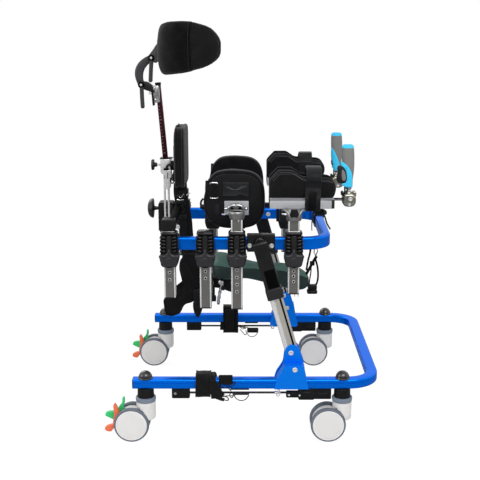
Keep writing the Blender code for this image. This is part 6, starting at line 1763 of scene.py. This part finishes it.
def addSeatStraps():
    belts = [ribbon(path, level, width) for path, level, width in seatStraps]
    belts.append(block((0.208, -0.015, 0.436), (0.223, -0.008, 0.45), 0.002))
    put("seat_front_straps", belts, "seat", "black_fabric", "webBlack")
    snap = [wire([(0.223, -0.004, 0.468), (0.23, -0.004, 0.472), (0.233, -0.004, 0.482),
        (0.227, -0.004, 0.491), (0.221, -0.004, 0.485), (0.222, -0.004, 0.472)], 0.0018),
        rod("z", (0.227, -0.004), 0.003, 0.462, 0.47)]
    put("seat_front_hook", snap, "seat", "bright_metal", "polished")
    clip = [block((0.201, -0.014, 0.344), (0.233, 0.014, 0.356), 0.004),
        block((0.203, -0.012, 0.358), (0.232, 0.012, 0.372), 0.004)]
    put("seat_front_buckle", clip, "seat", "black_plastic", "blackMatte")


def addHarness():
    belly = smoothLoop(slingOutline)
    sling = rumpled(cushion(belly, "y", -0.059, -0.04, 7.0, 16), 0.0016, 0.045, 0.7)
    edge = ringWire(inset(belly, 0.003), -0.0586, 0.0015, 6)
    creases = [ribbon(path, -0.0592, 0.005, 0.003)
        for path in ([(-0.1998, 0.3394), (-0.188, 0.344), (-0.1749, 0.3522), (-0.15, 0.3668)],
            [(-0.178, 0.456), (-0.165, 0.438), (-0.15, 0.41)])]
    put("hip_harness", [sling, edge] + creases, "back_support", "black_fabric", "webBlack")
    far = smoothLoop(np.array(slingOutline) * (0.9, 1) + (-0.004, 0.004))
    put("hip_harness_far", rumpled(cushion(far, "y", 0.042, 0.058, 7.0, 14), 0.0016, 0.045, 2.1),
        "back_support", "black_fabric", "webBlack")


# Back belts: the points (x, z) of each run, its level y and its width.
backBelts = [([(-0.1937, 0.7), (-0.1953, 0.67), (-0.1907, 0.6427), (-0.185, 0.6113), (-0.1801, 0.5784),
    (-0.1795, 0.5348), (-0.174, 0.48)], -0.052, 0.024),
    ([(-0.178, 0.7), (-0.177, 0.6651), (-0.171, 0.6374), (-0.1662, 0.6057), (-0.1628, 0.5724),
        (-0.1595, 0.527), (-0.154, 0.48)], -0.046, 0.022),
    ([(-0.188, 0.69), (-0.186, 0.65), (-0.181, 0.61), (-0.172, 0.57), (-0.17, 0.49)], 0.052, 0.028),
    ([(-0.202, 0.68), (-0.192, 0.672), (-0.18, 0.669), (-0.174, 0.676)], -0.056, 0.012),
    ([(-0.196, 0.618), (-0.188, 0.608), (-0.18, 0.612), (-0.176, 0.624)], -0.056, 0.01),
    ([(-0.196, 0.632), (-0.185, 0.625), (-0.176, 0.635), (-0.172, 0.65)], -0.058, 0.008)]


def addBackBelts():
    links = [ribbon(path, level, width, 0.003) for path, level, width in backBelts]
    blocks = [block((-0.2, -0.06, 0.638), (-0.172, -0.042, 0.648), 0.003),
        block((-0.196, -0.061, 0.656), (-0.174, -0.043, 0.666), 0.003),
        block((-0.19, -0.062, 0.592), (-0.17, -0.044, 0.604), 0.003)]
    put("back_belts", links + blocks, "back_support", "black_fabric", "strapSheen")
    spike = [wire([(-0.168, -0.058, 0.664), (-0.162, -0.058, 0.669), (-0.1556, -0.058, 0.671)], 0.0013),
        wire([(-0.196, -0.063, 0.653), (-0.188, -0.0635, 0.65), (-0.176, -0.0635, 0.652)], 0.0013),
        wire([(-0.19, -0.063, 0.662), (-0.185, -0.0635, 0.656), (-0.179, -0.0635, 0.664),
            (-0.174, -0.0635, 0.67)], 0.0008)]
    put("back_belt_hooks", spike, "back_support", "bright_metal", "polished")
    cap = lathe([(0.0068, -0.06), (0.0072, -0.064), (0.006, -0.067), (0.003, -0.068)], "y",
        (-0.1951, 0.569), 24)
    put("bar_housing_white_cap", cap, "rear_support", "bright_metal", "boltWhite")


def addHarnessBuckle():
    upper = slab(roundRect(0.0125, 0.02, 0.007) + (-0.1378, 0.355), "y", -0.07, -0.056, 0.004)
    lower = slab(smoothLoop([(-0.152, 0.342), (-0.124, 0.342), (-0.1225, 0.313), (-0.13, 0.292),
        (-0.1379, 0.2824), (-0.1457, 0.2916), (-0.1528, 0.313)]), "y", -0.069, -0.056, 0.0035)
    bars = [block((-0.149, -0.0716, z), (-0.1275, -0.069, z + 0.005), 0.0012) for z in (0.363, 0.344)]
    ring = ringWire(roundRect(0.009, 0.011, 0.008, 6) + (-0.139, 0.316), -0.0695, 0.0016, 6)
    put("hip_harness_buckle", [upper, lower, ring] + bars, "back_support", "black_plastic",
        "blackMatte")


def addRailStrap():
    wraps = []
    for level, lean in ((0.195, 0.0), (0.16, 0.1), (0.105, -0.06)):
        loop = roundRect(0.0146, 0.0202, 0.006, 5) + (0.2422, 0.556)
        path = across("y", loop, level)
        path[:, 1] += lean * (loop[:, 1] - 0.556)
        wraps.append(sweep(path, roundRect(0.0013, 0.01, 0.001, 2), (0, 1, 0), loop=True))
    wraps.append(webbing([(0.229, 0.19, 0.55), (0.2262, 0.19, 0.53), (0.227, 0.19, 0.505)], 0.018,
        (0, 1, 0), 0.0022))
    wraps.append(webbing([(0.256, 0.12, 0.548), (0.252, 0.12, 0.53), (0.245, 0.12, 0.512)], 0.018,
        (0, 1, 0), 0.0022))
    lever = wire([(0.244, 0.18, 0.578), (0.256, 0.18, 0.574), (0.268, 0.18, 0.556),
        (0.2745, 0.18, 0.5307), (0.2869, 0.18, 0.5114)], 0.0026)
    put("rail_wound_strap", wraps + [lever], "upper_frame", "black_fabric", "webBlack")


addSeat()
for sideName in sides:
    addAnkle(sideName)
addSeatStraps()
addHarness()
addBackBelts()
addHarnessBuckle()
addRailStrap()
print("seat, ankle rods and straps in place")


studio = {"frontMirror": 0.3, "roomLight": 0.55, "paper": 0.96, "paperMirror": 0.38, "paperGlow": 1.08,
    "paperShare": 0.85}


def addStage():
    floorMesh = bpy.data.meshes.new("studio_floor")
    floorMesh.from_pydata([(-30, -30, 0), (30, -30, 0), (30, 30, 0), (-30, 30, 0)], [], [(0, 1, 2, 3)])
    floor = bpy.data.objects.new("studio_floor", floorMesh)
    bpy.context.scene.collection.objects.link(floor)
    material = bpy.data.materials.new("studioPaper")
    material.use_nodes = True
    tree = material.node_tree
    shader = next(node for node in tree.nodes if node.type == "BSDF_PRINCIPLED")
    output = next(node for node in tree.nodes if node.type == "OUTPUT_MATERIAL")
    shader.inputs["Roughness"].default_value = 0.9
    shader.inputs["Specular IOR Level"].default_value = 0.1
    glow = tree.nodes.new("ShaderNodeEmission")
    glow.inputs["Color"].default_value = (1, 1, 1, 1)
    glow.inputs["Strength"].default_value = studio["paperGlow"]
    mix = tree.nodes.new("ShaderNodeMixShader")
    rays = tree.nodes.new("ShaderNodeLightPath")
    link(tree, mathNode(tree, "MULTIPLY", rays.outputs["Is Camera Ray"], studio["paperShare"]),
        mix.inputs[0])
    paper = rangeNode(tree, rays.outputs["Is Glossy Ray"], 0.0, 1.0, studio["paper"],
        studio["paperMirror"])
    grey = tree.nodes.new("ShaderNodeCombineColor")
    for channel in range(3):
        link(tree, paper, grey.inputs[channel])
    link(tree, grey.outputs[0], shader.inputs["Base Color"])
    link(tree, shader.outputs[0], mix.inputs[1])
    link(tree, glow.outputs[0], mix.inputs[2])
    link(tree, mix.outputs[0], output.inputs["Surface"])
    floorMesh.materials.append(material)

    world = bpy.data.worlds.new("studioWorld")
    bpy.context.scene.world = world
    world.use_nodes = True
    tree = world.node_tree
    background = next(node for node in tree.nodes if node.type == "BACKGROUND")
    background.inputs["Color"].default_value = (1, 1, 1, 1)
    rays = tree.nodes.new("ShaderNodeLightPath")
    direction = tree.nodes.new("ShaderNodeSeparateXYZ")
    link(tree, tree.nodes.new("ShaderNodeTexCoord").outputs["Generated"], direction.inputs[0])
    front = rangeNode(tree, direction.outputs[1], -0.55, -0.1, 1.0, 0.0)
    level = rangeNode(tree, mathNode(tree, "ABSOLUTE", direction.outputs[2]), 0.1, 0.42, 1.0, 0.0)
    dimmed = rangeNode(tree, mathNode(tree, "MULTIPLY", front, level), 0.0, 1.0, 1.0,
        studio["frontMirror"])
    glossy = mathNode(tree, "MULTIPLY", rays.outputs["Is Glossy Ray"], dimmed)
    seen = mathNode(tree, "MAXIMUM", rays.outputs["Is Camera Ray"], rays.outputs["Is Transmission Ray"])
    soft = mathNode(tree, "SUBTRACT", 1.0,
        mathNode(tree, "MAXIMUM", seen, rays.outputs["Is Glossy Ray"]))
    soft = mathNode(tree, "MULTIPLY", soft, studio["roomLight"])
    total = mathNode(tree, "ADD", mathNode(tree, "ADD", seen, glossy), soft)
    link(tree, mathNode(tree, "MINIMUM", total, 1.0), background.inputs["Strength"])


# name, place, point it is aimed at, width and height, watts
lamps = [
    ("keyLamp", (0.7, -2.2, 2.6), (0, 0, 0.5), (2.4, 1.6), 48),
    ("fillLamp", (-2.4, -1.2, 1.6), (0, 0, 0.5), (1.8, 1.8), 16),
    ("backLamp", (-1.6, 2.0, 2.2), (0, 0, 0.6), (2.0, 1.4), 22),
]


def addLamp(name, place, target, size, power):
    lamp = bpy.data.lights.new(name, "AREA")
    lamp.shape = "RECTANGLE"
    lamp.size, lamp.size_y = size
    lamp.energy = power
    rig = bpy.data.objects.new(name, lamp)
    bpy.context.scene.collection.objects.link(rig)
    rig.location = place
    aim = Vector(target) - Vector(place)
    rig.rotation_euler = aim.to_track_quat("-Z", "Y").to_euler()


# The photo's camera: place, degrees it looks down, focal length in mm, sideways shift in pixels of 480.
photoCamera = {"place": (0.0227, -2.7204, 1.1099), "down": 12.347, "focal": 67.5, "sensor": 36,
    "shift": -10}


def addCamera():
    lens = bpy.data.cameras.new("photoCamera")
    lens.lens = photoCamera["focal"]
    lens.sensor_width = photoCamera["sensor"]
    lens.shift_x = photoCamera["shift"] / 480
    camera = bpy.data.objects.new("photoCamera", lens)
    bpy.context.scene.collection.objects.link(camera)
    camera.location = photoCamera["place"]
    camera.rotation_euler = (math.radians(90 - photoCamera["down"]), 0, 0)
    bpy.context.scene.camera = camera


addStage()
for lamp in lamps:
    addLamp(*lamp)
addCamera()
bpy.context.scene.view_settings.view_transform = "Standard"
